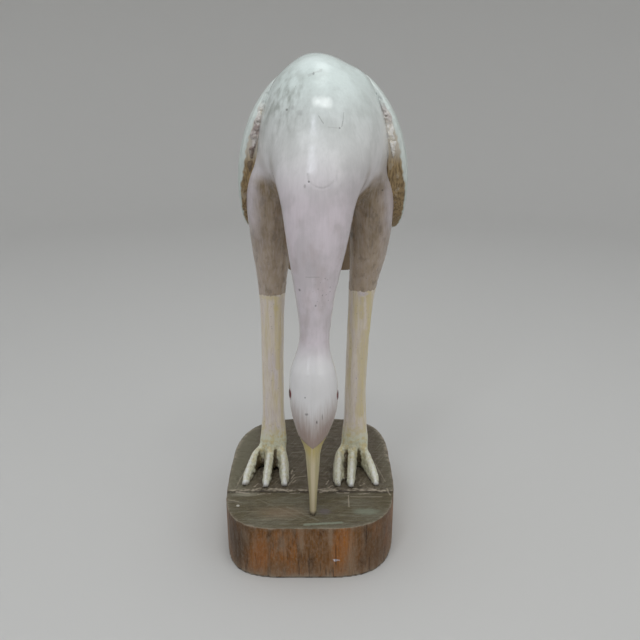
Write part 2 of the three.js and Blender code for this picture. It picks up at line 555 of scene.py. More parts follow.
LILAC = tint(226, 216, 222)
YELLOW = tint(222, 206, 148)
SPECK = tint(66, 58, 54)
FAINT = tint(128, 126, 122)
BIRD_MARKS = (
    # The breast: two fine scratches with a faint line between them, and specks
    Mark((10.7, -88.0, 549.7), SPECK, 0.36, end=(16.2, -92.2, 541.3), width=0.7),
    Mark((39.8, -81.2, 553.1), SPECK, 0.26, end=(38.7, -86.0, 543.5), width=0.65),
    Mark((38.7, -86.0, 543.5), SPECK, 0.36, end=(37.4, -89.0, 537.6), width=0.7),
    Mark((21.5, -93.2, 537.3), FAINT, 0.16, end=(35.0, -90.7, 536.2), width=0.8),
    Mark((35.0, -90.7, 536.2), SPECK, 0.5, reach=(1.1, 8.0, 1.1)),
    Mark((-26.6, -67.7, 555.3), SPECK, 0.6, reach=(1.3, 8.0, 1.3)),
    Mark((-20.1, -71.2, 557.6), FAINT, 0.3, reach=(2.6, 12.0, 2.2), soft=0.9, ragged=1.2),
    Mark((-10.5, -80.6, 552.4), FAINT, 0.3, reach=(3.4, 12.0, 2.6), soft=0.9, ragged=1.4),
    Mark((4.7, -49.9, 596.0), SPECK, 0.4, reach=(1.3, 5.0, 1.8)),
    Mark((-2.0, -51.0, 594.0), FAINT, 0.2, end=(14.0, -45.0, 599.5), width=1.8, ragged=1.4),
    Mark((46.0, -96.0, 474.0), FAINT, 0.2, reach=(16.0, 26.0, 24.0), soft=0.9, ragged=2.0),
    # Specks beside the curved crack and lower down
    Mark((-0.6, -116.5, 477.8), SPECK, 0.6, reach=(1.2, 8.0, 1.2)),
    Mark((-5.1, -116.3, 472.6), SPECK, 0.35, reach=(1.2, 8.0, 2.0), soft=0.7),
    Mark((89.9, -24.5, 454.8), SPECK, 0.6, reach=(1.2, 8.0, 1.3)),
    Mark((53.1, -11.1, 395.3), SPECK, 0.4, reach=(3.0, 12.0, 4.0), soft=0.7, ragged=0.8),
    Mark((2.2, -123.0, 378.0), FAINT, 0.12, reach=(7.0, 12.0, 10.0), soft=0.5, ragged=1.5),
    Mark((-4.1, -122.0, 367.0), FAINT, 0.25, end=(11.2, -122.0, 367.4), width=1.0),
    Mark((-11.8, -116.5, 349.9), SPECK, 0.5, reach=(1.3, 8.0, 1.5)),
    Mark((7.1, -122.9, 332.5), SPECK, 0.5, reach=(0.9, 8.0, 1.2)),
    # The head
    Mark((-5.5, -143.0, 224.6), SPECK, 0.6, reach=(0.8, 8.0, 1.0)),
    Mark((-3.8, -145.1, 204.1), SPECK, 0.5, reach=(1.8, 8.0, 1.5), ragged=0.6),
    Mark((8.5, -146.0, 194.2), SPECK, 0.75, reach=(0.8, 8.0, 2.0)),
    Mark((15.1, -144.4, 200.3), SPECK, 0.45, reach=(0.6, 8.0, 3.6)),
)
SHANK_MARKS = (
    Mark((66.6, -10.0, 312.0), YELLOW, 0.7, end=(67.0, -9.0, 286.0), width=4.0, ragged=1.2),
    Mark((76.5, -6.0, 318.0), YELLOW, 0.8, end=(78.4, 0.0, 262.0), width=5.5, ragged=1.2),
    Mark((72.0, 0.0, 262.0), YELLOW, 0.65, end=(66.6, -5.2, 150.0), width=8.5, ragged=1.4),
    Mark((-43.5, -7.0, 310.0), YELLOW, 0.55, end=(-44.0, -5.0, 215.0), width=5.0, ragged=1.4),
    Mark((-52.6, -7.0, 312.0), YELLOW, 0.5, reach=(10.0, 12.0, 3.0), soft=0.6, ragged=1.2),
    Mark((-45.1, -8.0, 297.9), YELLOW, 0.7, reach=(4.0, 12.0, 4.0), soft=0.5, ragged=1.4),
    Mark((-53.0, -7.0, 222.0), LILAC, 0.5, reach=(5.0, 12.0, 16.0), soft=0.6),
    Mark((69.0, -10.0, 318.0), LILAC, 0.9, reach=(6.5, 12.0, 2.6), ragged=0.4),
)


@dataclass(frozen=True)
class BirdPaint(Finish):
    """Thin worn paint, with some painted light and shade: white body, stained thighs, cream shanks, tan beak
    and dark red eyes.
    """

    name: str = "worn_bird_paint"
    white: Tint = tint(231, 231, 230)
    # Painted light: the greenish tint of the light on the top of the back
    painted_light_green: Tint = tint(217, 228, 224)
    grime: Tint = tint(124, 127, 116)
    # Brown of the thighs: real stain, with painted shade under the breast
    stain: Tint = tint(116, 94, 48)
    taupe: Tint = tint(198, 178, 154)
    cream: Tint = tint(236, 225, 212)
    foot: Tint = tint(228, 231, 206)
    tan: Tint = tint(214, 200, 168)
    ochre: Tint = tint(190, 172, 104)
    olive: Tint = tint(184, 173, 132)
    gouge: Tint = tint(92, 80, 58)
    blush: Tint = tint(150, 124, 110)
    # The brown painted on the tail's underside
    wood: Tint = tint(120, 92, 52)
    iris: Tint = tint(96, 14, 14)
    pupil: Tint = tint(12, 8, 8)
    eye_rim: Tint = tint(196, 150, 146)
    # Patterns of the whole bird and its body
    brush: Cloud = Cloud((0.35, 0.35, 0.03), 0.3, 0.75, 4.0)
    grain: Cloud = Cloud((0.9, 0.9, 0.12), 0.2, 0.8, 3.0)
    patch: Cloud = Cloud((0.03, 0.03, 0.022), 0.42, 0.62)
    bloom: Cloud = Cloud((0.06, 0.06, 0.03), 0.46, 0.66)
    smudge: Cloud = Cloud((0.10, 0.06, 0.035), 0.36, 0.72, 4.0)
    # Patterns of the thighs
    stray: Cloud = Cloud((0.05, 0.05, 0.05), 0.3, 0.7)
    soaked: Cloud = Cloud((0.06, 0.06, 0.035), 0.36, 0.66)
    thin_paint: Cloud = Cloud((0.4, 0.4, 0.06), 0.3, 0.8, 4.0)
    dark_spots: Cloud = Cloud((0.12, 0.12, 0.08), 0.52, 0.66, 6.0)
    # Patterns of the shanks, the feet and the beak
    streak: Cloud = Cloud((0.22, 0.22, 0.014), 0.4, 0.72)
    pale: Cloud = Cloud((0.14, 0.14, 0.025), 0.46, 0.68)
    shank_grain: Cloud = Cloud((0.8, 0.8, 0.09), 0.4, 0.7, 4.0)
    ankle_spots: Cloud = Cloud((0.16, 0.16, 0.14), 0.44, 0.62, 6.0)
    worn: Cloud = Cloud((0.34, 0.2, 0.34), 0.46, 0.62)
    flecks: Cloud = Cloud((0.6, 0.4, 0.5), 0.52, 0.62, 3.0)
    chips: Cloud = Cloud((0.5, 0.3, 0.3), 0.56, 0.64, 3.0)
    beak_streak: Cloud = Cloud((0.5, 0.5, 0.03), 0.35, 0.7, 4.0)
    # The tail's underside is painted brown below the line where Y and this share of Z make up this sum
    tail_slope: float = 0.3
    tail_line: float = 239.5
    # X of the gap between the legs, and of the upright plane midway between the stained thighs
    legs_middle: float = 4.5
    thigh_middle: float = 14.0
    # The upper edge of the cream paint at the middle of the bird, how it rises towards the left, and how
    # far it strays
    shank_top: float = 317.6
    shank_slope: float = 0.048
    shank_stray: float = 7.0
    # The beak's root at the middle, how it rises to the sides, and the beak's middle
    beak_root: float = 158.6
    beak_rise: float = 0.72
    beak_middle: float = 3.6
    eyes: tuple[Place, Place] = ((-25.4, -122.5, 222.3), (34.6, -119.5, 219.5))
    eye_half: float = 6.3
    pupil_half: float = 3.0
    pupil_shift: float = 1.2

    def paint(self, at: Surface) -> tuple[Term, Term, Term]:
        """Works out the surface from the top of the bird down to its toes.

        Args:
            at: The material's surface.

        Returns:
            The colour, the roughness and the height, which is in millimetres.
        """
        hollow = at.attribute("hollow")
        brush = at.cloud(self.brush)
        coat = self.body(at, brush)
        # The thighs' stain, with painted shade under the breast
        coat.lay(self.thigh(at), self.thigh_stain_and_shade_mask(at))
        from_line = at.math("SUBTRACT", at.y, self.tail_line)
        under = at.math("MULTIPLY_ADD", at.z, self.tail_slope, from_line)
        tail = at.both(at.ease(at.y, 84.0, 90.0), at.ease(at.z, 440.0, 415.0))
        coat.lay(self.wood, at.ease(under, 0.0, -4.0), tail, share=0.9)
        legs = at.both(
            at.ease(at.aside(self.legs_middle), 20.0, 24.0),
            at.ease(at.y, 105.0, 95.0),
            at.ease(at.math("ADD", at.math("ABSOLUTE", at.x), at.y), -90.0, -80.0),
        )
        shank = at.both(legs, self.below_line(at))
        coat.lay(self.shank(at, hollow), shank)
        coat.lay(SPECK, legs, at.specks(4.0, 0.2, 0.3), at.ease(at.z, 440.0, 400.0), share=0.4)
        beak = self.paint_beak(coat)
        # Grime and painted shade in the hollows, less on the shanks
        coat.lay(SPECK, hollow, at.math("MULTIPLY_ADD", shank, -0.2, 0.6))
        coat.mark(BIRD_MARKS, at.ease(at.y, 10.0, -5.0))
        eye = self.paint_eyes(coat)
        roughness = at.math("MULTIPLY_ADD", brush, 0.06, self.gloss_roughness)
        dull = at.math("MULTIPLY", at.math("MAXIMUM", shank, beak), 0.2)
        roughness = at.math("SUBTRACT", at.math("ADD", roughness, dull), at.math("MULTIPLY", eye, 0.05))
        return coat.colour, roughness, at.math("MULTIPLY", at.cloud(self.grain), 0.3)

    def body(self, at: Surface, brush: Term) -> Coat:
        """White, with the light on the back painted in as greenish white, painted shade in lilac down the
        neck, and soft grey smudges.

        Args:
            at: The material's surface.
            brush: The mask of the brush strokes.

        Returns:
            The body's coat.
        """
        coat = Coat(at, self.white)
        # Painted light on the top of the back
        coat.lay(self.painted_light_green, at.ease(at.z, 500.0, 600.0))
        # Painted shade in lilac over the neck and lower body
        coat.lay(LILAC, at.ease(at.z, 520.0, 440.0), at.ease(at.y, 88.0, 60.0))
        coat.lay(self.grime, self.patch, share=0.18)
        coat.lay(self.blush, self.bloom, at.ease(at.z, 470.0, 400.0), share=0.17)
        coat.lay(self.grime, brush, share=0.08)
        shoulder = at.spot((-34.0, -44.0, 562.0), (32.0, 60.0, 40.0), 0.7)
        coat.lay(self.grime, shoulder, self.smudge, share=0.62)
        speckled = at.spot((20.0, -121.0, 348.0), (15.0, 14.0, 17.0), 0.5)
        coat.lay(SPECK, speckled, at.specks(3.0, 0.3, 0.4), share=0.55)
        coat.lay(SPECK, at.specks(17.0, 0.05, 0.2), share=0.5)
        head = at.both(at.ease(at.z, 290.0, 256.0), at.ease(at.y, -45.0, -75.0))
        return coat.lay(self.white, head, share=0.8)

    def thigh_stain_and_shade_mask(self, at: Surface) -> Term:
        """Where the thighs are darkened: with stain and painted shade under the breast on their inner sides,
        and with stain all round lower down.

        Args:
            at: The material's surface.

        Returns:
            Its mask.
        """
        stray = at.cloud(self.stray)
        across = at.math("MULTIPLY_ADD", stray, -5.0, at.aside(self.thigh_middle))
        height = at.math("MULTIPLY_ADD", stray, -6.0, at.z)
        # Stain and painted shade on the inner sides, under the breast
        inner = at.both(at.ease(across, 95.0, 66.0), at.ease(height, 480.0, 454.0))
        lower = at.both(at.ease(at.z, 440.0, 385.0), 0.85)
        behind = at.both(at.ease(at.y, -60.0, -48.0), at.ease(at.y, 84.0, 60.0))
        return at.both(at.math("MAXIMUM", inner, lower), behind, 0.92)

    def thigh(self, at: Surface) -> Term:
        """Brown stain that shows through thin paint in streaks, less and less further down; its strength up
        under the breast is partly painted shade.

        Args:
            at: The material's surface.

        Returns:
            Its colour.
        """
        deep = at.math("MULTIPLY_ADD", at.cloud(self.soaked), 0.4, 0.7)
        # Strongest up under the breast, partly as painted shade
        fading = at.math("MULTIPLY_ADD", at.ease(at.z, 440.0, 340.0), -0.55, 1.0)
        coat = Coat(at, self.taupe).lay(self.stain, deep, fading)
        return coat.lay(LILAC, self.thin_paint, share=0.2).lay(self.gouge, self.dark_spots, share=0.4).colour

    def below_line(self, at: Surface) -> Term:
        """1 below the uneven line where the cream paint of the shanks begins.

        Args:
            at: The material's surface.

        Returns:
            Its mask.
        """
        line = at.math("MULTIPLY_ADD", at.x, self.shank_slope, self.shank_top)
        line = at.math("SUBTRACT", line, self.shank_stray / 2)
        edge = at.add("ShaderNodeTexNoise", {"Vector": at.place, "Scale": 0.18, "Detail": 4.0}).outputs["Fac"]
        line = at.math("MULTIPLY_ADD", edge, self.shank_stray, line)
        return at.ease(at.math("SUBTRACT", at.z, line), 0.6, -0.6)

    def shank(self, at: Surface, hollow: Term) -> Term:
        """The cream of the shanks, yellow in streaks, turning greenish white on the feet, with wear and
        painted highlight on the toes' crests and grime and painted shade in their hollows.

        Args:
            at: The material's surface.
            hollow: The mask of the hollows.

        Returns:
            Its colour.
        """
        grain = at.cloud(self.shank_grain)
        low = at.ease(at.z, 116.0, 100.0)
        coat = Coat(at, self.cream)
        coat.lay(YELLOW, self.streak, share=0.75)
        coat.lay(LILAC, self.pale, share=0.5)
        whole = at.math("SUBTRACT", 1.0, at.both(grain, 0.6))
        coat.mark(SHANK_MARKS, at.both(at.ease(at.y, 22.0, 10.0), whole))
        coat.lay(self.taupe, grain, share=0.32)
        coat.lay(self.foot, at.ease(at.z, 134.0, 106.0), share=0.85)
        ankle = at.both(at.ease(at.z, 80.0, 100.0), at.ease(at.z, 146.0, 112.0))
        coat.lay(YELLOW, self.ankle_spots, ankle, share=0.85)
        coat.lay(self.olive, self.worn, low, share=0.45)
        coat.lay(self.taupe, self.flecks, low, share=0.4)
        # Wear and painted highlight on the toes' crests
        coat.lay(self.white, at.attribute("ridge"), low)
        # Grime and painted shade in the feet's hollows
        coat.lay(self.olive, hollow, low, share=0.75)
        cut = Coat(at, self.gouge).lay(self.olive, self.chips, share=0.55)
        coat.lay(cut.colour, at.attribute("gouge"))
        return coat.lay(self.gouge, at.ease(at.z, 77.0, 71.5), share=0.5).colour

    def paint_beak(self, coat: Coat) -> Term:
        """Paints the beak, which is light along its ridge and olive on its sides.

        Args:
            coat: The bird's coat.

        Returns:
            The beak's mask.
        """
        at = coat.at
        across = at.aside(self.beak_middle)
        root = at.math("SUBTRACT", at.z, at.math("MULTIPLY_ADD", across, self.beak_rise, self.beak_root))
        ahead = at.ease(at.y, -95.0, -100.0)
        streak = at.cloud(self.beak_streak)
        paint = Coat(at, self.olive)
        paint.lay(self.tan, streak, share=0.5)
        paint.lay(self.tan, at.ease(across, 3.6, 1.2), share=0.9)
        paint.lay(self.ochre, at.ease(root, -26.0, -2.0), at.math("MULTIPLY_ADD", streak, 0.6, 0.4))
        paint.lay(SPECK, at.ease(at.z, 76.0, 70.5), share=0.8)
        low_head = at.ease(at.math("MULTIPLY_ADD", streak, 8.0, root), 60.0, 8.0)
        coat.lay(self.blush, low_head, ahead, share=0.85)
        beak = at.both(at.ease(root, 0.8, -0.8), ahead)
        coat.lay(paint.colour, beak)
        return beak

    def paint_eyes(self, coat: Coat) -> Term:
        """Paints both eyes.

        Args:
            coat: The bird's coat.

        Returns:
            The eyes' mask.
        """
        at = coat.at
        whole: Term = 0.0
        for x, y, z in self.eyes:
            gap = at.vector("DISTANCE", at.place, (x, y, z), out="Value")
            coat.lay(self.eye_rim, at.ease(gap, self.eye_half + 1.6, self.eye_half + 0.6), share=0.4)
            eye = at.ease(gap, self.eye_half + 0.3, self.eye_half - 0.3)
            coat.lay(self.iris, eye)
            black = at.vector("DISTANCE", at.place, (x, y, z + self.pupil_shift), out="Value")
            coat.lay(self.pupil, at.ease(black, self.pupil_half + 0.4, self.pupil_half - 0.4))
            whole = at.math("MAXIMUM", whole, eye)
        return whole


# The other finishes


@dataclass(frozen=True)
class WingPaint(Finish):
    """The wing boards: worn white outside, with grime and painted shade in the feather cuts, and bare wood on
    the front edge.
    """

    name: str = "worn_wing_paint"
    white: Tint = tint(218, 226, 221)
    grime: Tint = tint(120, 132, 126)
    wood: Tint = tint(168, 144, 104)
    dark_wood: Tint = tint(116, 96, 66)
    cream: Tint = tint(206, 200, 188)
    brush: Cloud = Cloud((0.2, 0.3, 0.03), 0.35, 0.7, 4.0)
    grain: Cloud = Cloud((0.5, 0.5, 0.035), 0.35, 0.68)
    smear: Cloud = Cloud((0.16, 0.16, 0.08), 0.58, 0.64, 4.0)
    bare_below: float = 492.0

    def paint(self, at: Surface) -> tuple[Term, Term, Term]:
        """Works out the surface from the board's own point attributes.

        Args:
            at: The material's surface.

        Returns:
            The colour, the roughness and the height, which is in millimetres.
        """
        outer = at.attribute("outer")
        brush = at.cloud(self.brush)
        grain = at.cloud(self.grain)
        outside = Coat(at, self.white).lay(self.grime, brush, share=0.22)
        # Grime and painted shade in the feather cuts
        outside.lay(self.grime, at.attribute("hollow"), share=0.75)
        high = at.ease(at.z, self.bare_below - 10.0, self.bare_below + 16.0)
        painted = at.math("MAXIMUM", at.both(at.cloud(self.smear), 0.25), at.both(high, 0.8))
        coat = Coat(at, self.wood).lay(self.dark_wood, grain).lay(self.cream, painted)
        coat.lay(outside.colour, outer)
        coat.lay(self.dark_wood, at.specks(14.0, 0.06, 0.3), share=0.6)
        roughness = at.math("MULTIPLY_ADD", brush, 0.12, self.gloss_roughness)
        rough_wood = at.math("MULTIPLY", at.math("SUBTRACT", 1.0, outer), 0.25)
        height = at.math("MULTIPLY", grain, at.math("MULTIPLY_ADD", outer, -0.7, 1.0))
        return coat.colour, at.math("ADD", roughness, rough_wood), height


@dataclass(frozen=True)
class FillerPaint(Finish):
    """Lumpy painted filler, since rubbed: cream in one stretch of each seam, dull purple elsewhere."""

    name: str = "painted_filler"
    white: Tint = tint(204, 212, 208)
    pale: Tint = tint(244, 242, 236)
    yellow: Tint = tint(216, 202, 162)
    purple: Tint = tint(150, 130, 126)
    dirt_and_shade: Tint = tint(84, 68, 54)
    brown: Tint = tint(108, 86, 56)
    thin_paint: Cloud = Cloud((0.16, 0.16, 0.1), 0.4, 0.6, 4.0)
    yellowed: Cloud = Cloud((0.2, 0.2, 0.1), 0.5, 0.6)
    grain: Cloud = Cloud((0.9, 0.9, 0.9), 0.3, 0.7, 4.0)

    def paint(self, at: Surface) -> tuple[Term, Term, Term]:
        """Works out the surface; the purple lies high on the left seam and low on the right one.

        Args:
            at: The material's surface.

        Returns:
            The colour, the roughness and the height, which is in millimetres.
        """
        left = at.math("GREATER_THAN", at.x, 0.0)
        right = at.math("SUBTRACT", 1.0, left)
        low = at.both(right, at.ease(at.z, 548.0, 536.0))
        region = at.math("ADD", low, at.both(left, at.ease(at.z, 530.0, 544.0), 0.7))
        purple = at.math("MULTIPLY_ADD", region, 0.7, 0.15)
        coat = Coat(at, self.pale).lay(self.yellow, self.yellowed, share=0.35)
        coat.lay(self.purple, purple, at.math("MULTIPLY_ADD", at.cloud(self.thin_paint), 0.5, 0.5))
        # Grime and painted shade in the hollows of the lumps
        coat.lay(self.dirt_and_shade, at.attribute("hollow"), share=0.55)
        coat.lay(self.pale, at.attribute("ridge"), share=0.5)
        coat.lay(self.white, at.ease(at.z, 548.0, 564.0), share=0.9)
        coat.lay(self.brown, at.ease(at.z, 512.0, 488.0), at.math("MULTIPLY_ADD", right, 0.5, 0.4))
        grain = at.cloud(self.grain)
        return coat.colour, at.math("MULTIPLY_ADD", grain, 0.2, self.gloss_roughness), grain


DUSTY = tint(160, 156, 138)
GREENISH = tint(142, 150, 132)
HAZE = tint(164, 140, 116)
LIP = tint(182, 170, 152)
DARK = tint(48, 38, 32)


def scratch(start: Point, end: Point, colour: Tint, strength: float, width: float, ragged: float) -> Mark:
    """A scratch on the slab's top.

    Args:
        start: X and Y of one end.
        end: X and Y of the other.
        colour: Its colour.
        strength: How far it covers.
        width: Its width.
        ragged: How far its outline strays.

    Returns:
        The mark, seen from above.
    """
    above = (1.0, 1.0, 0.0)
    return Mark((*start, SAWN), colour, strength, end=(*end, SAWN), width=width, plane=above, ragged=ragged)


TOP_MARKS = (
    # The sawn front
    Mark((-84.0, -84.0, SAWN), DUSTY, 0.6, reach=(16.0, 5.0, 20.0), soft=0.6, ragged=1.6),
    scratch((-104.0, -100.0), (-92.0, -104.0), LIP, 0.5, 1.6, 0.5),
    Mark((-91.5, -115.1, SAWN), tint(214, 210, 200), 0.8, reach=(2.0, 2.6, 9.0)),
    scratch((-69.0, -96.0), (-6.0, -152.0), DUSTY, 0.22, 1.6, 1.2),
    scratch((-30.0, -118.0), (10.0, -154.0), DUSTY, 0.25, 2.2, 1.4),
    Mark((-36.0, -134.0, SAWN), HAZE, 0.35, reach=(26.0, 14.0, 9.0), soft=0.8, ragged=3.0),
    scratch((49.1, -86.0), (48.9, -118.6), LIP, 0.6, 1.1, 0.4),
    scratch((52.3, -90.1), (92.0, -90.6), LIP, 0.6, 1.2, 0.3),
    Mark((70.0, -131.0, SAWN), GREENISH, 0.6, reach=(15.0, 8.0, 9.0), soft=0.6, ragged=2.4),
    scratch((-6.0, -164.5), (38.0, -159.5), GREENISH, 0.75, 3.4, 1.0),
    Mark((18.0, -131.0, SAWN), tint(104, 94, 100), 0.6, reach=(7.0, 7.0, 9.0), soft=0.5, ragged=1.6),
    scratch((99.5, -72.0), (103.5, -86.0), LIP, 0.6, 1.4, 0.4),
    # Scratches round the feet
    scratch((-29.8, -64.0), (-22.0, -40.0), LIP, 0.6, 1.0, 0.4),
    scratch((-22.0, -40.0), (-7.0, -36.0), LIP, 0.6, 1.2, 0.4),
    scratch((-27.0, 42.0), (-12.0, 43.0), DUSTY, 0.5, 1.8, 0.8),
    scratch((88.0, 8.0), (99.0, -52.0), LIP, 0.4, 1.0, 0.5),
    scratch((-98.0, -68.0), (-84.0, 20.0), LIP, 0.5, 1.0, 0.6),
) + tuple(
    # Chips along the ledge and round the toes: the middle, half the run along X and Y, and the width
    scratch((x - run, y - tilt), (x + run, y + tilt), LIP, 0.75, width, 1.3)
    for x, y, run, tilt, width in (
        (-88.0, -80.0, 9.0, -1.5, 1.5), (-70.0, -73.0, 5.0, 2.5, 1.3), (-46.0, -71.5, 7.0, 1.0, 1.5),
        (-34.0, -76.0, 5.0, -2.0, 1.0), (-20.0, -80.5, 6.0, 0.5, 0.9), (13.0, -74.0, 7.0, 1.5, 1.2),
        (28.0, -72.5, 5.0, -1.0, 1.6), (42.0, -80.0, 8.0, 0.0, 1.2), (62.0, -73.0, 6.0, -1.5, 1.4),
        (84.0, -74.5, 9.0, -4.0, 1.2), (70.0, -82.0, 7.0, 1.0, 1.0), (-60.0, -83.0, 8.0, 1.0, 1.0),
        (-41.0, -74.0, 10.0, -1.0, 2.4), (22.0, -77.0, 9.0, 2.0, 2.2), (-24.0, -36.0, 1.5, 5.0, 1.2),
        (-26.0, -22.0, 1.0, 6.0, 1.4), (-22.0, -52.0, 2.0, 4.0, 1.2), (22.0, -54.0, 1.5, 6.0, 1.4),
        (26.0, -66.0, 3.0, 4.0, 1.4), (68.0, -60.0, 3.0, 3.0, 1.2), (-72.0, -62.0, 2.0, 5.0, 1.2),
    )
)
# Patches of warm varnish, hazy runs, painted shade on the two front corners and one pale chip
FRONT_MARKS = (
    Mark((38.0, -173.0, 42.0), tint(190, 116, 44), 0.5, reach=(11.0, 30.0, 26.0), soft=0.7, ragged=2.0),
    Mark((-60.0, -170.0, 34.0), tint(182, 110, 48), 0.4, reach=(9.0, 30.0, 22.0), soft=0.7, ragged=2.0),
    Mark((-79.6, -162.0, 51.0), HAZE, 0.5, reach=(4.0, 30.0, 11.0), soft=0.7, ragged=1.2),
    Mark((-33.0, -174.0, 47.0), HAZE, 0.5, reach=(5.0, 30.0, 13.0), soft=0.9, ragged=2.4),
    Mark((-10.5, -174.0, 50.0), HAZE, 0.6, reach=(3.6, 30.0, 15.0), soft=0.7, ragged=1.6),
    Mark((25.0, -174.0, 57.0), HAZE, 0.65, reach=(2.8, 30.0, 17.0), soft=0.7, ragged=1.2),
    Mark((50.2, -170.0, 22.0), HAZE, 0.5, reach=(6.0, 30.0, 24.0), soft=0.9, ragged=2.6),
    # Painted shade where the rounded front corners turn away from the light
    Mark((-92.0, -150.0, 40.0), tint(62, 42, 20), 0.8, reach=(16.0, 30.0, 36.0), soft=0.8, ragged=2.4),
    Mark((86.0, -146.0, 34.0), tint(62, 42, 20), 0.45, reach=(26.0, 34.0, 40.0), soft=0.8, ragged=2.0),
    Mark((31.4, -173.0, 24.9), tint(226, 220, 226), 0.95, reach=(2.2, 9.0, 1.8), soft=0.3),
    Mark((28.5, -173.0, 26.2), tint(214, 206, 212), 0.8, end=(36.0, -173.0, 24.6), width=1.0),
)


@dataclass(frozen=True)
class SlabFinish(Finish):
    """Red-brown varnished sides with upright grain, and a grey-brown top with saw and brush streaks."""

    name: str = "varnished_slab"
    brown: Tint = tint(134, 90, 44)
    dark_wood: Tint = tint(76, 50, 26)
    orange: Tint = tint(168, 104, 38)
    grey: Tint = tint(117, 112, 92)
    olive: Tint = tint(98, 89, 62)
    umber: Tint = tint(80, 69, 54)
    mauve: Tint = tint(102, 91, 78)
    # Patterns of the sides
    upright: Cloud = Cloud((0.9, 0.9, 0.035), 0.3, 0.72)
    broad: Cloud = Cloud((0.05, 0.05, 0.03), 0.44, 0.66)
    dark: Cloud = Cloud((0.11, 0.11, 0.03), 0.5, 0.68)
    mottle: Cloud = Cloud((0.3, 0.3, 0.16), 0.42, 0.62, 6.0)
    mist: Cloud = Cloud((0.07, 0.07, 0.02), 0.52, 0.7, 3.0)
    crack: Cloud = Cloud((0.5, 0.5, 0.02), 0.62, 0.68, 2.0)
    # Patterns of the top
    streak: Cloud = Cloud((0.03, 0.55, 0.2), 0.34, 0.66)
    patch: Cloud = Cloud((0.02, 0.05, 0.05), 0.4, 0.62)
    scuff: Cloud = Cloud((0.1, 0.16, 0.2), 0.46, 0.66, 6.0)
    stain: Cloud = Cloud((0.09, 0.09, 0.1), 0.4, 0.62, 6.0)
    grit: Cloud = Cloud((0.7, 0.7, 0.7), 0.45, 0.75, 3.0)
    lines: Cloud = Cloud((0.025, 0.8, 0.1), 0.56, 0.66, 3.0)
    # Patterns of both
    worn: Cloud = Cloud((0.12, 0.12, 0.12), 0.35, 0.6, 3.0)
    glint: Cloud = Cloud((0.7, 0.7, 0.3), 0.52, 0.66, 4.0)

    def paint(self, at: Surface) -> tuple[Term, Term, Term]:
        """Works out the top and the sides and lays one over the other.

        Args:
            at: The material's surface.

        Returns:
            The colour, the roughness and the height, which is in millimetres.
        """
        level = at.attribute("level")
        upright = at.cloud(self.upright)
        streak = at.cloud(self.streak)
        coat = self.sides(at, upright)
        coat.mark(FRONT_MARKS, at.ease(at.y, -90.0, -105.0))
        coat.lay(self.top(at, streak).mark(TOP_MARKS).colour, level)
        rim = at.both(at.ease(level, 0.05, 0.5), at.ease(level, 0.95, 0.5))
        coat.lay(DUSTY, rim, at.ease(at.y, -100.0, -120.0), share=0.5)
        # Grime and painted shade in the hollows
        coat.lay(DARK, at.attribute("hollow"), share=0.7)
        # Wear and painted highlight on the ridges
        coat.lay(LIP, at.attribute("ridge"), self.worn, share=0.65)
        coat.lay(DUSTY, self.glint, share=0.2)
        coat.lay(DARK, self.crack, at.ease(level, 0.5, 0.1), share=0.6)
        roughness = at.math("MULTIPLY_ADD", level, 0.12, self.gloss_roughness)
        roughness = at.math("MULTIPLY_ADD", streak, 0.08, roughness)
        height = at.add("ShaderNodeMix", {"Factor_Float": level, "A_Float": upright, "B_Float": streak})
        return coat.colour, roughness, height.outputs[0]

    def sides(self, at: Surface, upright: Term) -> Coat:
        """The varnished sides, hazy near the ground, with painted shade along their very foot, and darker
        under the rim.

        Args:
            at: The material's surface.
            upright: The mask of the upright grain.

        Returns:
            Their coat.
        """
        coat = Coat(at, self.brown)
        coat.lay(self.orange, self.broad, share=0.75)
        coat.lay(self.dark_wood, self.dark, share=0.75)
        coat.lay(self.dark_wood, upright, share=0.45)
        coat.lay(HAZE, self.mottle, share=0.28)
        coat.lay(HAZE, self.mist, share=0.26)
        coat.lay(HAZE, at.ease(at.z, 28.0, 2.0), share=0.3)
        # Painted shade along the foot of the sides, where the slab meets the ground
        coat.lay(DARK, at.ease(at.z, 3.4, 0.8), share=0.85)
        return coat.lay(self.dark_wood, at.ease(at.z, 60.0, 67.0), share=0.35)

    def top(self, at: Surface, streak: Term) -> Coat:
        """The worn top: sawn and brushed in front of the ledge, dark and gouged behind it.

        Args:
            at: The material's surface.
            streak: The mask of the streaks.

        Returns:
            Its coat.
        """
        front = Coat(at, self.grey).lay(self.olive, self.patch).lay(self.umber, streak, share=0.42)
        self.brush(front, -0.6, 0.3)
        self.brush(front, 0.08, 0.4)
        front.lay(self.umber, self.scuff, share=0.4)
        back = Coat(at, self.umber).lay(self.mauve, self.stain).lay(self.olive, streak, share=0.35)
        self.brush(back, 0.4, 0.3)
        self.brush(back, -1.2, 0.35)
        edges = at.math("ADD", at.ease(at.x, -66.0, -96.0), at.both(at.ease(at.x, 88.0, 104.0), 0.4))
        back.lay(self.grey, edges)
        front.lay(back.colour, at.ease(at.y, LEDGE - 1.0, LEDGE + 1.0))
        front.lay(DARK, self.grit, share=0.4)
        # Painted shade on the ledge's riser, and the lip's chips with painted highlight
        return front.lay(DARK, at.attribute("riser")).lay(LIP, at.attribute("lip"))

    def brush(self, coat: Coat, turn: float, share: float) -> None:
        """Lays thin pale lines, as a brush or scraper leaves them.

        Args:
            coat: What they are on.
            turn: Their direction on the top, in radians from X.
            share: How clear they are.
        """
        at = coat.at
        turned = at.add("ShaderNodeVectorRotate", {"Vector": at.place, "Angle": turn}, rotation_type="Z_AXIS")
        coat.lay(DUSTY, at.cloud(self.lines, turned.outputs[0]), share=share)


@dataclass(frozen=True)
class StagePaint(Finish):
    """The plain matt cove around the object."""

    name: str = "plain_cove"
    colour: Tint = tint(206, 205, 202)
    gloss_roughness: float = 0.9

    def paint(self, at: Surface) -> tuple[Term, Term, Term]:
        """One plain colour."""
        return self.colour, self.gloss_roughness, 0.0


# Fine meshes


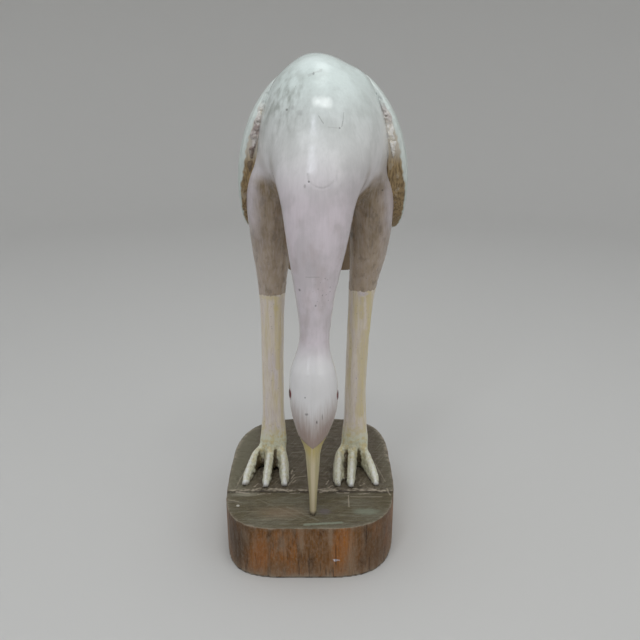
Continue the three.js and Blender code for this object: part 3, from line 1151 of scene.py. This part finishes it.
class Carving:
    """A fine mesh that small forms can be cut into."""

    def __init__(self, bm: bmesh.types.BMesh) -> None:
        """Works on the given mesh.

        Args:
            bm: The mesh.
        """
        self.bm = bm
        self.bm.normal_update()
        self.marks: dict[str, np.ndarray] = {}

    @classmethod
    def of_node(cls, node: str, voxel: float) -> "Carving":
        """Copies one of the frame's solids with even faces.

        Args:
            node: The frame's node.
            voxel: The width of a face in millimetres.

        Returns:
            The copy.
        """
        source = bmesh.new()
        source.from_mesh(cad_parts[node].data)
        bmesh.ops.remove_doubles(source, verts=source.verts, dist=0.01 * MM)
        mesh = bpy.data.meshes.new(node + "_rough")
        source.to_mesh(mesh)
        source.free()
        holder = bpy.data.objects.new(node + "_rough", mesh)
        bpy.context.scene.collection.objects.link(holder)
        remesh = holder.modifiers.new("even", "REMESH")
        remesh.mode = "VOXEL"
        remesh.voxel_size = voxel * MM
        graph = bpy.context.evaluated_depsgraph_get()
        even = bpy.data.meshes.new_from_object(holder.evaluated_get(graph))
        bpy.data.objects.remove(holder)
        bpy.data.meshes.remove(mesh)
        bm = bmesh.new()
        bm.from_mesh(even)
        bpy.data.meshes.remove(even)
        return cls(bm)

    def soften(self, passes: Callable[[float, float, float], float]) -> None:
        """Sands the mesh, more in some places than in others.

        Args:
            passes: How many passes a place in millimetres gets.
        """
        axes = {"use_axis_x": True, "use_axis_y": True, "use_axis_z": True}
        counts = [(passes(*(v.co / MM)), v) for v in self.bm.verts]
        for done in range(math.ceil(max(count for count, _ in counts))):
            verts = [v for count, v in counts if count > done]
            bmesh.ops.smooth_vert(self.bm, verts=verts, factor=0.5, **axes)
        self.bm.normal_update()

    def refine(self, inside: Callable[[float, float, float], bool]) -> None:
        """Halves the faces in a region.

        Args:
            inside: Whether a place in millimetres is in it.
        """
        chosen = {v for v in self.bm.verts if inside(*(v.co / MM))}
        edges = [e for e in self.bm.edges if e.verts[0] in chosen and e.verts[1] in chosen]
        bmesh.ops.subdivide_edges(self.bm, edges=edges, cuts=1, use_grid_fill=True, smooth=0.0)
        self.bm.normal_update()

    def carve(self, height: Callable[[float, float, float, Vector], float]) -> None:
        """Raises or cuts the surface along its normals.

        Args:
            height: The height in millimetres at a place in millimetres with its normal.
        """
        heights = [height(*(v.co / MM), v.normal) for v in self.bm.verts]
        for v, rise in zip(self.bm.verts, heights):
            v.co += v.normal * rise * MM
        self.bm.normal_update()

    def move(self, shift: Callable[[float, float, float, Vector], Place]) -> None:
        """Moves points.

        Args:
            shift: How far a point at a place in millimetres moves, in millimetres.
        """
        for v in self.bm.verts:
            v.co += Vector(shift(*(v.co / MM), v.normal)) * MM
        self.bm.normal_update()

    def mark(self, name: str, value: Callable[[float, float, float, Vector], float]) -> None:
        """Keeps a value at each point for the finish to read.

        Args:
            name: The attribute's name.
            value: The value at a place in millimetres with its normal.
        """
        self.marks[name] = np.array([value(*(v.co / MM), v.normal) for v in self.bm.verts], np.float32)

    def mark_hollows_and_ridges(self, depth: float, passes: int = 3) -> None:
        """Keeps how far each point lies in a hollow, and how far on a ridge; the finishes lay grime and
        painted shade in the hollows.

        Args:
            depth: The depth below the points around it that counts as full, in millimetres.
            passes: How far around a point its surroundings reach.
        """
        self.bm.verts.index_update()
        ends = np.array([[v.index for v in e.verts] for e in self.bm.edges])
        place = np.array([v.co for v in self.bm.verts]) / MM
        normal = np.array([v.normal for v in self.bm.verts])
        count = np.bincount(ends.ravel(), minlength=len(place))[:, None]

        def around(values: np.ndarray) -> np.ndarray:
            """The mean of each point's neighbours."""
            total = np.zeros_like(values)
            for one, other in (ends.T, ends.T[::-1]):
                for axis in range(values.shape[1]):
                    total[:, axis] += np.bincount(one, values[other, axis], minlength=len(values))
            return total / count

        level = place
        for _ in range(passes):
            level = around(level)
        below = ((level - place) * normal).sum(1, keepdims=True)
        share = around(below)[:, 0] / depth
        self.marks["hollow"] = np.clip(share, 0.0, 1.0).astype(np.float32)
        self.marks["ridge"] = np.clip(-share, 0.0, 1.0).astype(np.float32)

    def piece(self, name: str, finish: bpy.types.Material, slot: Slot) -> bpy.types.Object:
        """Ends the carving and puts the piece in the frame.

        Args:
            name: The piece's name.
            finish: Its material.
            slot: Its material slot in the record; not used.

        Returns:
            The piece, riding on the frame's one body.
        """
        mesh = bpy.data.meshes.new(name)
        self.bm.to_mesh(mesh)
        self.bm.free()
        for key, values in self.marks.items():
            mesh.attributes.new(key, "FLOAT", "POINT").data.foreach_set("value", values)
        mesh.materials.append(finish)
        mesh.shade_smooth()
        piece = bpy.data.objects.new(name, mesh)
        bpy.context.scene.collection.objects.link(piece)
        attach(piece, "root")
        log.info("%s: %d faces", name, len(mesh.polygons))
        return piece


def groove(gap: float, half: float, depth: float) -> float:
    """The height of a round groove.

    Args:
        gap: The distance from its middle line in millimetres.
        half: Half its width.
        depth: Its depth in the middle.

    Returns:
        The height, 0 or below.
    """
    return -depth * ease(half, 0.0, gap) if gap < half else 0.0


def gap_to(x: float, y: float, line: Line) -> float:
    """The distance in a plane from a point to a line through points.

    Args:
        x: The point.
        y: The point.
        line: The line's points.

    Returns:
        The distance.
    """
    best = math.inf
    for (ax, ay), (bx, by) in zip(line, line[1:]):
        run_x, run_y = bx - ax, by - ay
        part = ((x - ax) * run_x + (y - ay) * run_y) / (run_x * run_x + run_y * run_y)
        part = min(max(part, 0.0), 1.0)
        best = min(best, math.hypot(x - ax - part * run_x, y - ay - part * run_y))
    return best


@dataclass(frozen=True)
class Foot:
    """Where one foot's toes lie on the slab, as lines from root to tip, in millimetres."""

    toes: tuple[Line, ...]


FEET = (
    Foot((((-77.0, -5.0), (-88.0, -64.0)), ((-57.0, -6.0), (-60.0, -68.0)), ((-40.0, -5.0), (-34.0, -65.0)))),
    Foot((((39.0, -5.0), (37.0, -65.0)), ((57.0, -6.0), (53.0, -68.0)), ((74.0, -5.0), (86.0, -64.0)))),
)


def between_toes(x: float, y: float) -> float:
    """How far a place on the feet lies from the nearest toe's line, where it is between two toes.

    Args:
        x: The place in millimetres.
        y: The place in millimetres.

    Returns:
        The distance along X, or less than 0 where the place isn't between toes.
    """
    best = -math.inf
    for foot in FEET:
        lines = [ax + (bx - ax) * min((y - ay) / (by - ay), 1.0) for (ax, ay), (bx, by) in foot.toes]
        best = max(best, *(min(x - low, high - x) for low, high in zip(lines, lines[1:])))
    return best


def near_toe(x: float, y: float) -> float:
    """The distance in millimetres to the nearest toe's line."""
    return min(gap_to(x, y, toe) for foot in FEET for toe in foot.toes)


# The bird


@dataclass
class Egret:
    """Body, tail, neck, head, beak, legs and feet, carved as one. Sizes in millimetres."""

    voxel: float = 2.7
    look: BirdPaint = BirdPaint(gloss_roughness=0.1, relief=0.16)
    # Where the body swells out to meet the top of each wing, and how far
    shoulders: tuple[tuple[Place, float], ...] = (((66.0, 6.0, 589.0), 4.2), ((-44.0, 8.0, 585.0), 1.6))
    shoulder_reach: float = 36.0
    # How far the outer sides of the thighs swell
    thigh_swell: float = 1.8
    # The curved crack on the breast, as X and Z
    crack: Line = (
        (-2.5, 486.0), (-1.5, 479.0), (5.0, 472.5), (15.0, 470.0),
        (24.0, 473.0), (30.0, 480.0), (32.0, 489.0),
    )
    # The eye's swelling, and the groove round it: its radius, half width and depth
    eye_swell: float = 0.7
    eye_ring: tuple[float, float, float] = (7.3, 1.5, 0.55)
    # The shanks: X of the middle of each, their common Y, and the knife's facets round each
    shanks: tuple[float, float] = (60.0, -51.5)
    shank_y: float = 8.0
    facets: float = 7.0
    # The tail's feathers: X of the middle cut, and how far apart the cuts are at a height and per
    # millimetre further down
    tail_middle: float = 12.0
    feather_width: float = 9.0
    feather_height: float = 430.0
    feather_fan: float = 0.022

    @staticmethod
    def passes(x: float, y: float, z: float) -> float:
        """How long each place is sanded: body and joints long, edges and tips hardly.

        Args:
            x: The place in millimetres.
            y: The place in millimetres.
            z: The place in millimetres.

        Returns:
            The passes that it gets.
        """
        if y < -60.0:
            return 1.0 + 4.0 * ease(150.0, 200.0, z) + 31.0 * ease(400.0, 455.0, z) if z > 76.0 else 0.0
        if y > 92.0 and z < 430.0:
            return 1.0 + 28.0 * ease(345.0, 430.0, z)
        return 1.0 + 3.0 * ease(105.0, 140.0, z) + 31.0 * ease(350.0, 410.0, z) if z > 74.0 else 0.0

    @staticmethod
    def ankle_passes(x: float, y: float, z: float) -> float:
        """How long the ankles are sanded first, to blend each shank into its foot."""
        return 16.0 * ease(-32.0, -14.0, y) * ease(74.0, 86.0, z) * ease(150.0, 116.0, z)

    def relief(self, x: float, y: float, z: float, normal: Vector) -> float:
        """The small forms: hand-worked unevenness, the head's lines, the legs' long facets and the cracks.

        Args:
            x: The place in millimetres.
            y: The place in millimetres.
            z: The place in millimetres.
            normal: The surface's normal there.

        Returns:
            The height in millimetres.
        """
        rise = 0.5 * rough(x, y, z, 34.0) + 0.12 * rough(x, y, z, 9.0, 3.0)
        if y < -95.0 and z < 300.0:
            return 0.4 * rise + self.head_relief(x, y, z)
        if z < 330.0 and y < 90.0:
            return self.leg_relief(x, y, z)
        if y < -80.0 and 460.0 < z < 495.0:
            rise += groove(gap_to(x, z, self.crack), 1.3, 0.5)
        if y > 96.0 and normal.y > 0.2 and z < 500.0:
            rise += self.tail_cuts(x, z)
        across = abs(x - self.look.thigh_middle)
        outer = ease(64.0, 78.0, across) * ease(330.0, 400.0, z) * ease(490.0, 450.0, z)
        rise += self.thigh_swell * outer * abs(normal.x)
        for at, full in self.shoulders:
            rise += full * ease(self.shoulder_reach, 0.0, math.dist((x, y, z), at))
        return rise

    def head_relief(self, x: float, y: float, z: float) -> float:
        """Eyes, the crease down the forehead, the step to the beak and the gape.

        Args:
            x: The place in millimetres.
            y: The place in millimetres.
            z: The place in millimetres.

        Returns:
            The height in millimetres.
        """
        rise = 0.0
        radius, half, depth = self.eye_ring
        for centre in self.look.eyes:
            gap = math.dist((x, y, z), centre)
            rise += self.eye_swell * ease(6.6, 3.0, gap) + groove(abs(gap - radius), half, depth)
        if y < -128.0 and z > 172.0:
            crease = 3.0 + 4.0 * rough(0.0, 0.0, z, 40.0, 5.0)
            rise += groove(abs(x - crease), 5.0, 0.4) * ease(172.0, 185.0, z)
        across = abs(x - self.look.beak_middle)
        below = self.look.beak_root + self.look.beak_rise * across - z
        if below > -1.0:
            rise -= 0.5 * ease(-1.0, 1.5, below)
            gape = -129.5 - 0.06 * (z - 70.0)
            rise += groove(abs(y - gape), 1.1, 0.55) * ease(76.0, 90.0, z)
            rise += 0.5 * ease(1.8, 0.0, across) if y < -139.0 else 0.0
        return rise

    def leg_relief(self, x: float, y: float, z: float) -> float:
        """Long knife facets down the shanks, and a crest along each toe.

        Args:
            x: The place in millimetres.
            y: The place in millimetres.
            z: The place in millimetres.

        Returns:
            The height in millimetres.
        """
        middle = self.shanks[0] if x > 0.0 else self.shanks[1]
        turn = math.atan2(y - self.shank_y, x - middle)
        facet = 0.45 * math.cos(self.facets * turn + 0.6 * rough(0.0, 0.0, z, 70.0, middle))
        rise = facet * ease(118.0, 150.0, z) + 0.3 * rough(x, y, z / 5.0, 6.0, 1.0)
        if z < 112.0 and y < -2.0:
            gap = near_toe(x, y)
            crest = 1.2 * ease(3.6, 0.8, gap) - 0.2 * ease(3.4, 6.0, gap) * ease(10.0, 7.0, gap)
            knife = 0.9 * rough(x / 2.0, y, z, 6.0, 2.0) + 0.6 * rough(x, y, z, 2.6, 5.0)
            rise += (crest + knife) * ease(-2.0, -20.0, y)
            rise -= self.gouged(x, y, z) * (1.2 + 1.8 * abs(rough(x, y, z, 4.0, 6.0)))
        return rise

    @staticmethod
    def gouged(x: float, y: float, z: float) -> float:
        """Where the gouge left the dark, ragged cuts between the toes.

        Args:
            x: The place in millimetres.
            y: The place in millimetres.
            z: The place in millimetres.

        Returns:
            0 to 1.
        """
        stray = 2.2 * rough(x, y, z, 4.5, 3.0)
        top = ease(100.0, 95.0, z + 3.0 * stray) * ease(-4.0, -9.0, y)
        return ease(6.0, 7.6, between_toes(x, y) + 0.5 * stray) * top

    def tail_cuts(self, x: float, z: float) -> float:
        """Shallow cuts between the tail feathers, which fan out a little as they run down.

        Args:
            x: The place in millimetres.
            z: The place in millimetres.

        Returns:
            The height in millimetres.
        """
        spread = self.feather_width + self.feather_fan * (self.feather_height - z)
        place = (x - self.tail_middle) / spread
        return groove(abs(place - round(place)) * spread, 1.5, 0.9) * ease(490.0, 450.0, z)

    @staticmethod
    def stand_on_slab(x: float, y: float, z: float, normal: Vector) -> Place:
        """Brings the soles and the beak's tip back to the slab that sanding drew them away from.

        Args:
            x: The place in millimetres.
            y: The place in millimetres.
            z: The place in millimetres.
            normal: The surface's normal there.

        Returns:
            How far the place moves, in millimetres.
        """
        if y < -100.0:
            return (0.0, 0.0, (SAWN - z) * ease(SAWN + 3.0, SAWN + 1.2, z))
        return (0.0, 0.0, (STAND - z) * ease(STAND + 2.5, STAND + 1.0, z))

    def build(self) -> bpy.types.Object:
        """Carves and paints the bird.

        Returns:
            The piece.
        """
        shape = Carving.of_node("egret", self.voxel)
        shape.soften(self.ankle_passes)
        shape.refine(lambda x, y, z: z < 118.0 and y < 62.0 or z < 262.0 and y < -85.0)
        shape.soften(self.passes)
        shape.refine(lambda x, y, z: y < -90.0 and 458.0 < z < 496.0 and abs(x - 15.0) < 26.0)
        shape.mark("gouge", lambda x, y, z, normal: self.gouged(x, y, z))
        shape.carve(self.relief)
        shape.move(self.stand_on_slab)
        shape.mark_hollows_and_ridges(0.5, passes=2)
        piece = shape.piece("carved_egret", self.look.build(), Slot.PAINT)
        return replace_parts(piece, "egret")


@dataclass
class Wing:
    """One wing: a thin curved board set against the side of the body. Sizes in millimetres."""

    side: Side
    voxel: float = 1.3
    # The feather cuts: how many, the first one's Y, how far apart, half their width, and their depth
    cuts: int = 8
    first: float = 4.0
    pitch: float = 15.0
    half: float = 1.7
    depth: float = 1.5
    # The egg form of the outer face: its middle, and its reach out, ahead, back, up and down
    middle: Place = (16.0, 50.0, 465.0)
    reach: tuple[float, ...] = (109.5, 230.0, 114.0, 147.0, 168.0)
    lines: list[Line] = field(default_factory=list)

    def __post_init__(self) -> None:
        """Draws the cuts between the feathers, from the shoulder down to the tip."""
        steps = [s / 12.0 for s in range(13)]
        for i in range(self.cuts):
            y = self.first + i * self.pitch + 2.4 * math.sin(2.1 * i)
            top = (0.62 * y + 18.0, 566.0 + 3.0 * i + 5.0 * math.sin(1.3 * i))
            bend = (y + 1.0, 468.0)
            tip = (54.0 + 8.2 * i, 384.0)
            self.lines.append(tuple(
                tuple((1 - s) ** 2 * a + 2 * s * (1 - s) * b + s * s * c for a, b, c in zip(top, bend, tip))
                for s in steps
            ))

    def passes(self, x: float, y: float, z: float) -> float:
        """How long each place is sanded: the top and the front edge longest."""
        front_edge = y < 6.0 and self.inset(x, y, z) < 8.0
        return 30.0 * ease(548.0, 574.0, z) + (22.0 if front_edge else 8.0)

    def inset(self, x: float, y: float, z: float) -> float:
        """How far inside the board's outer face a place lies, along X.

        Args:
            x: The place in millimetres.
            y: The place in millimetres.
            z: The place in millimetres.

        Returns:
            The distance in millimetres, less than 0 outside.
        """
        out, front, back, up, down = self.reach
        mid_x, mid_y, mid_z = self.middle
        along = (y - mid_y) / (front if y < mid_y else back)
        high = (z - mid_z) / (up if z > mid_z else down)
        return out * math.sqrt(max(0.0, 1.0 - along * along - high * high)) - (x - mid_x) * self.side.value

    def relief(self, x: float, y: float, z: float, normal: Vector) -> float:
        """Crowned feathers between V cuts outside, and knife marks on the bare edge.

        Args:
            x: The place in millimetres.
            y: The place in millimetres.
            z: The place in millimetres.
            normal: The surface's normal there.

        Returns:
            The height in millimetres.
        """
        if normal.x * self.side.value > 0.35:
            gap = min(gap_to(y, z, line) for line in self.lines)
            crown = 0.5 * ease(self.half, 7.0, gap)
            return groove(gap, self.half, self.depth) + crown + 0.12 * rough(x, y, z, 8.0)
        return 0.35 * rough(x, y, z / 2.0, 6.0, 5.0) * ease(40.0, 10.0, y)

    def painted(self, x: float, y: float, z: float, normal: Vector) -> float:
        """How far the white paint of the outer face reaches, also round the front edge.

        Args:
            x: The place in millimetres.
            y: The place in millimetres.
            z: The place in millimetres.
            normal: The surface's normal there.

        Returns:
            0 to 1.
        """
        rim = 1.6 + 4.2 * ease(440.0, 485.0, z) + 14.0 * ease(540.0, 556.0, z)
        rim += 1.6 * rough(0.0, y, z, 6.0, 9.0)
        outside = ease(0.1, 0.4, normal.x * self.side.value - 0.3 * max(-normal.y, 0.0))
        back = 30.0 * ease(436.0, 404.0, z)
        behind = ease(20.0, 34.0, y - back + 5.0 * rough(0.0, y, z, 9.0, 2.0))
        return max(outside, behind, ease(rim + 0.8, rim - 0.8, self.inset(x, y, z)))

    def against_body(self, x: float, y: float, z: float, normal: Vector) -> Place:
        """Brings the board's inner face up to the body that sanding drew back, most of all in front."""
        far = 6.0 + 3.0 * ease(60.0, 30.0, y) + 5.0 * ease(540.0, 570.0, z)
        return (-far * self.side.value * ease(8.0, 13.0, self.inset(x, y, z)), 0.0, 0.0)

    def build(self) -> bpy.types.Object:
        """Carves and paints the wing.

        Returns:
            The piece.
        """
        name = self.side.name.lower()
        shape = Carving.of_node(f"wing_{name}", self.voxel)
        shape.soften(self.passes)
        shape.mark("outer", self.painted)
        shape.carve(self.relief)
        shape.move(self.against_body)
        shape.mark_hollows_and_ridges(0.35)
        finish = WingPaint(name=f"worn_wing_paint_{name}", gloss_roughness=0.38, relief=0.3).build()
        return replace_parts(shape.piece(f"wing_board_{name}", finish, Slot.PAINT), f"wing_{name}")


@dataclass
class SeamFiller:
    """The lumpy filler in the corner between the body and a wing's front edge. Sizes in millimetres."""

    side: Side
    finish: bpy.types.Material
    # Half the band's width at heights from its lower end up
    widths: Line
    holes: tuple[Place, ...]
    thick: float = 2.6
    # Y of the board's front edge at heights from its lower end up
    edge: Line = ((419.0, 14.0), (455.0, -8.0), (505.0, -16.0), (553.0, -10.0), (575.0, 1.0), (588.0, 14.0))

    def solids(self) -> tuple[BVHTree, BVHTree]:
        """Search trees of the body, and of the body with the wing.

        Returns:
            The two trees.
        """
        body = bmesh.new()
        body.from_mesh(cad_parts["egret"].data)
        alone = BVHTree.FromBMesh(body)
        body.from_mesh(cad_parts[f"wing_{self.side.name.lower()}"].data)
        both = BVHTree.FromBMesh(body)
        body.free()
        return alone, both

    def build(self) -> bpy.types.Object:
        """Lays a lumpy band down the seam and presses the nail holes into it.

        Returns:
            The piece.
        """
        body, both = self.solids()
        sign = self.side.value
        bm = bmesh.new()
        bmesh.ops.create_uvsphere(bm, u_segments=36, v_segments=200, radius=1.0)
        bottom, top = self.widths[0][0], self.widths[-1][0]
        ahead = -300.0
        rows: dict[float, tuple[float, float]] = {}
        for v in bm.verts:
            part = math.acos(max(-1.0, min(1.0, -v.co.z))) / math.pi
            z = bottom + (top - bottom) * part
            turn = math.atan2(v.co.y, v.co.x)
            if round(z, 3) not in rows:
                rows[round(z, 3)] = self.corner(body, z)
            inner, front = rows[round(z, 3)]
            lump = 0.8 + 0.9 * rough(turn * 2.0, 0.0, z, 8.0, 4.0 * sign)
            lump += 0.5 * rough(turn * 4.0, 0.0, z, 3.4, sign)
            end = min(1.0, math.sin(math.pi * part) * 6.0)
            wide = float(np.interp(z, *zip(*self.widths)))
            wide *= 1.0 + 0.5 * rough(turn, 0.0, z, 11.0, 2.0 * sign)
            x = inner + sign * (wide * 0.75 + wide * math.cos(turn) * end)
            hit = both.ray_cast(Vector((x, ahead, z)) * MM, Vector((0.0, 1.0, 0.0)))[0]
            y = max(hit.y / MM if hit else front, front - 3.0)
            v.co = Vector((x, y + 0.8 + self.thick * math.sin(turn) * lump * end, z)) * MM
        bmesh.ops.recalc_face_normals(bm, faces=bm.faces)
        shape = Carving(bm)
        shape.carve(self.hole)
        shape.mark_hollows_and_ridges(0.45)
        return shape.piece(f"seam_filler_{self.side.name.lower()}", self.finish, Slot.FILLER)

    def hole(self, x: float, y: float, z: float, normal: Vector) -> float:
        """A nail hole with a raised rim around it.

        Args:
            x: The place in millimetres.
            y: The place in millimetres.
            z: The place in millimetres.
            normal: The surface's normal there.

        Returns:
            The height in millimetres.
        """
        if normal.y >= 0.0:
            return 0.0
        gap = min(math.dist((x, z), (hole[0], hole[2])) for hole in self.holes)
        return groove(gap, 1.9, 2.4) + 0.5 * ease(3.4, 2.2, gap) * ease(1.4, 2.0, gap)

    def corner(self, body: BVHTree, z: float) -> tuple[float, float]:
        """Where the body's side meets the wing's front edge.

        Args:
            body: The body's search tree.
            z: The height in millimetres.

        Returns:
            X of the body's side and Y of the wing's edge there.
        """
        front = float(np.interp(z, *zip(*self.edge)))
        at = Vector((0.25 * self.side.value, (front + 1.0) * MM, z * MM))
        hit = body.ray_cast(at, Vector((-self.side.value, 0.0, 0.0)))[0]
        return (hit.x / MM if hit else 80.0 * self.side.value), front


@dataclass
class Slab:
    """The thick rounded slab, whose front part was sawn down a little. Sizes in millimetres."""

    voxel: float = 2.2
    look: SlabFinish = SlabFinish(gloss_roughness=0.4, relief=0.5, shine=0.28)
    # The radius at which the grain's place round the side is measured
    round_radius: float = 140.0

    @staticmethod
    def lip_shift(x: float) -> float:
        """How far the ledge's lip strays from its line."""
        return 2.6 * rough(x, 0.0, 0.0, 17.0, 7.0) + 1.6 * rough(x, 0.0, 0.0, 5.0, 8.0)

    def ragged_ledge(self, x: float, y: float, z: float, normal: Vector) -> Place:
        """Shifts the ledge to and fro, so that its lip runs ragged."""
        near = ease(10.0, 0.0, abs(y - LEDGE)) * ease(60.0, 66.0, z)
        return (0.0, near * self.lip_shift(x), 0.0)

    def lip(self, x: float, y: float, z: float, normal: Vector) -> float:
        """The pale broken edge along the top of the ledge: chipped wood, with a painted highlight where the
        edge catches the light.

        Args:
            x: The place in millimetres.
            y: The place in millimetres.
            z: The place in millimetres.
            normal: The surface's normal there.

        Returns:
            0 to 1.
        """
        gap = y - LEDGE - self.lip_shift(x)
        broken = ease(-0.25, 0.25, rough(x, y * 2.0, 0.0, 7.0, 3.0))
        wide = 1.0 + 0.9 * rough(x, 0.0, 0.0, 11.0, 4.0)
        return 0.85 * ease(2.2 * wide, 0.7 * wide, abs(gap - 0.4)) * ease(69.6, 70.6, z) * broken

    def riser(self, x: float, y: float, z: float, normal: Vector) -> float:
        """The painted shade on the face below the lip.

        Args:
            x: The place in millimetres.
            y: The place in millimetres.
            z: The place in millimetres.
            normal: The surface's normal there.

        Returns:
            0 to 1.
        """
        gap = abs(y - LEDGE - self.lip_shift(x) + 0.8)
        deep = 0.55 + 0.5 * rough(x, 0.0, 0.0, 15.0, 6.0)
        return deep * ease(2.6, 1.2, gap) * ease(70.6, 69.6, z) * ease(60.0, 66.0, z)

    def relief(self, x: float, y: float, z: float, normal: Vector) -> float:
        """Saw streaks and gouges on the top, upright grain on the side.

        Args:
            x: The place in millimetres.
            y: The place in millimetres.
            z: The place in millimetres.
            normal: The surface's normal there.

        Returns:
            The height in millimetres.
        """
        if normal.z > 0.6:
            if y < LEDGE - 2.0:
                return 0.35 * rough(x / 14.0, y, 0.0, 3.2, 1.0) + 0.25 * rough(x, y, 0.0, 30.0)
            rise = 0.3 * rough(x / 3.0, y, 0.0, 5.0, 2.0)
            gap = near_toe(x, y)
            cut = ease(22.0, 10.0, gap) * ease(-82.0, -74.0, y) * ease(4.0, -8.0, y)
            return rise - cut * (0.4 + 1.3 * abs(rough(x, y / 2.5, 0.0, 5.0, 4.0)))
        if normal.z < -0.6:
            return 0.0
        around = math.atan2(y, x) * self.round_radius
        return 0.35 * rough(around, 0.0, z / 14.0, 4.5, 6.0) + 0.5 * rough(around, 0.0, z / 5.0, 30.0)

    def is_top(self, x: float, y: float, z: float, normal: Vector) -> float:
        """1 on the top and on the ledge's riser, and 0 on the side."""
        riser = z > 64.0 and abs(y - LEDGE) < 6.0 and abs(x) < 105.0
        return 1.0 if riser else ease(0.45, 0.8, normal.z)

    def build(self) -> bpy.types.Object:
        """Carves and finishes the slab.

        Returns:
            The piece.
        """
        shape = Carving.of_node("base", self.voxel)
        shape.refine(lambda x, y, z: z > 60.0 and y < 15.0)
        shape.soften(lambda x, y, z: 1.5 if z > 2.5 else 0.0)
        shape.move(self.ragged_ledge)
        shape.carve(self.relief)
        shape.move(lambda x, y, z, normal: (0.0, 0.0, max(0.0, -z)))
        shape.mark("level", self.is_top)
        shape.mark("lip", self.lip)
        shape.mark("riser", self.riser)
        shape.mark_hollows_and_ridges(0.4)
        piece = shape.piece("rounded_slab", self.look.build(), Slot.WOOD)
        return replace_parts(piece, "base")


# The studio


@dataclass
class Studio:
    """Camera, soft light and a plain cove, in metres unless a name says otherwise."""

    frame_pixels: float = 640.0
    lens_pixels: float = 950.0
    sensor_mm: float = 36.0
    camera_at: Place = (0.0123, -1.204, 0.628)
    camera_down: float = 16.14
    aim: Place = (0.01, 0.0, 0.38)
    floor_reach: float = 2.3
    cove_radius: float = 0.9
    wall_top: float = 3.0
    room_colour: Tint = (0.95, 0.97, 1.0, 1.0)
    room_strength: float = 0.745

    def camera(self) -> None:
        """Sets the camera where the photograph was taken from."""
        data = bpy.data.cameras.new("camera")
        data.sensor_width = self.sensor_mm
        data.lens = self.lens_pixels / self.frame_pixels * self.sensor_mm
        camera = bpy.data.objects.new("camera", data)
        camera.location = self.camera_at
        camera.rotation_euler = (math.radians(90.0 - self.camera_down), 0.0, 0.0)
        bpy.context.scene.collection.objects.link(camera)
        bpy.context.scene.camera = camera

    def light(self, name: str, at: Place, size: tuple[float, float], watts: float, colour: Place) -> None:
        """Adds a soft rectangular light that points at the bird.

        Args:
            name: The light's name.
            at: Its place.
            size: Its width and height.
            watts: Its power.
            colour: Its colour.
        """
        data = bpy.data.lights.new(name, "AREA")
        data.shape = "RECTANGLE"
        data.size, data.size_y = size
        data.energy = watts
        data.color = colour
        light = bpy.data.objects.new(name, data)
        light.location = at
        light.rotation_euler = (Vector(self.aim) - Vector(at)).to_track_quat("-Z", "Y").to_euler()
        bpy.context.scene.collection.objects.link(light)

    def cove(self) -> None:
        """Turns a round floor that curves up into a wall on all sides."""
        bm = bmesh.new()
        centre = bm.verts.new((0.0, 0.0, 0.0))
        rim = bm.verts.new((self.floor_reach, 0.0, 0.0))
        profile = [bm.edges.new((centre, rim))]
        steps = 10
        for i in range(1, steps + 1):
            turn = math.pi / 2 * i / steps
            x = self.floor_reach + self.cove_radius * math.sin(turn)
            point = bm.verts.new((x, 0.0, self.cove_radius * (1.0 - math.cos(turn))))
            profile.append(bm.edges.new((rim, point)))
            rim = point
        profile.append(bm.edges.new((rim, bm.verts.new((rim.co.x, 0.0, self.wall_top)))))
        bmesh.ops.spin(
            bm, geom=list(bm.verts) + profile, cent=(0.0, 0.0, 0.0), axis=(0.0, 0.0, 1.0),
            angle=math.tau, steps=64, use_merge=True, use_duplicate=False,
        )
        bmesh.ops.remove_doubles(bm, verts=bm.verts, dist=0.0001)
        bmesh.ops.recalc_face_normals(bm, faces=bm.faces)
        mesh = bpy.data.meshes.new("cove")
        bm.to_mesh(mesh)
        bm.free()
        mesh.materials.append(StagePaint().build())
        mesh.shade_smooth()
        cove = bpy.data.objects.new("cove", mesh)
        bpy.context.scene.collection.objects.link(cove)
        cove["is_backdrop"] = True

    def world(self) -> None:
        """A soft even light from all around."""
        world = bpy.data.worlds.new("soft_room")
        world.use_nodes = True
        background = world.node_tree.nodes["Background"]
        background.inputs["Color"].default_value = self.room_colour
        background.inputs["Strength"].default_value = self.room_strength
        bpy.context.scene.world = world

    def build(self) -> None:
        """Sets up the camera, the lights and the cove."""
        bpy.context.scene.view_settings.view_transform = "Standard"
        self.camera()
        self.cove()
        self.world()
        self.light("overhead", (0.015, -0.66, 1.83), (0.85, 0.28), 5.6, (0.98, 1.0, 1.0))
        self.light("strip", (0.06, 0.35, 2.0), (0.5, 1.3), 3.0, (0.95, 1.0, 1.0))
        self.light("window", (-0.5, -1.36, 1.46), (0.14, 0.6), 2.6, (0.84, 0.88, 1.0))
        self.light("fill", (1.5, -1.8, 1.3), (1.2, 1.2), 4.4, (1.0, 0.98, 0.96))


def main() -> None:
    """Builds the studio and each piece in turn."""
    logging.basicConfig(level=logging.INFO, format="%(name)s %(message)s")
    Studio().build()
    Slab().build()
    Egret().build()
    filler = FillerPaint(gloss_roughness=0.5, relief=0.4).build()
    bands = {
        Side.LEFT: (
            (
                (462.0, 1.6), (484.0, 3.0), (500.0, 4.2), (520.0, 5.2), (548.0, 4.0), (560.0, 3.2),
                (584.0, 2.4),
            ),
            ((93.4, -13.0, 544.0), (106.4, -15.8, 501.7)),
        ),
        Side.RIGHT: (
            ((474.0, 2.4), (486.0, 4.4), (505.0, 5.8), (530.0, 4.6), (560.0, 3.2), (584.0, 2.4)),
            ((-69.7, -15.6, 486.5), (-57.0, -11.0, 556.0)),
        ),
    }
    for side, (widths, holes) in bands.items():
        Wing(side).build()
        SeamFiller(side, filler, widths, holes).build()
    boxes = {"cad": cad_box, "visual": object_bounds()}
    {key: [list(corner) for corner in box] for key, box in boxes.items()}


if __name__ == "__main__":
    main()
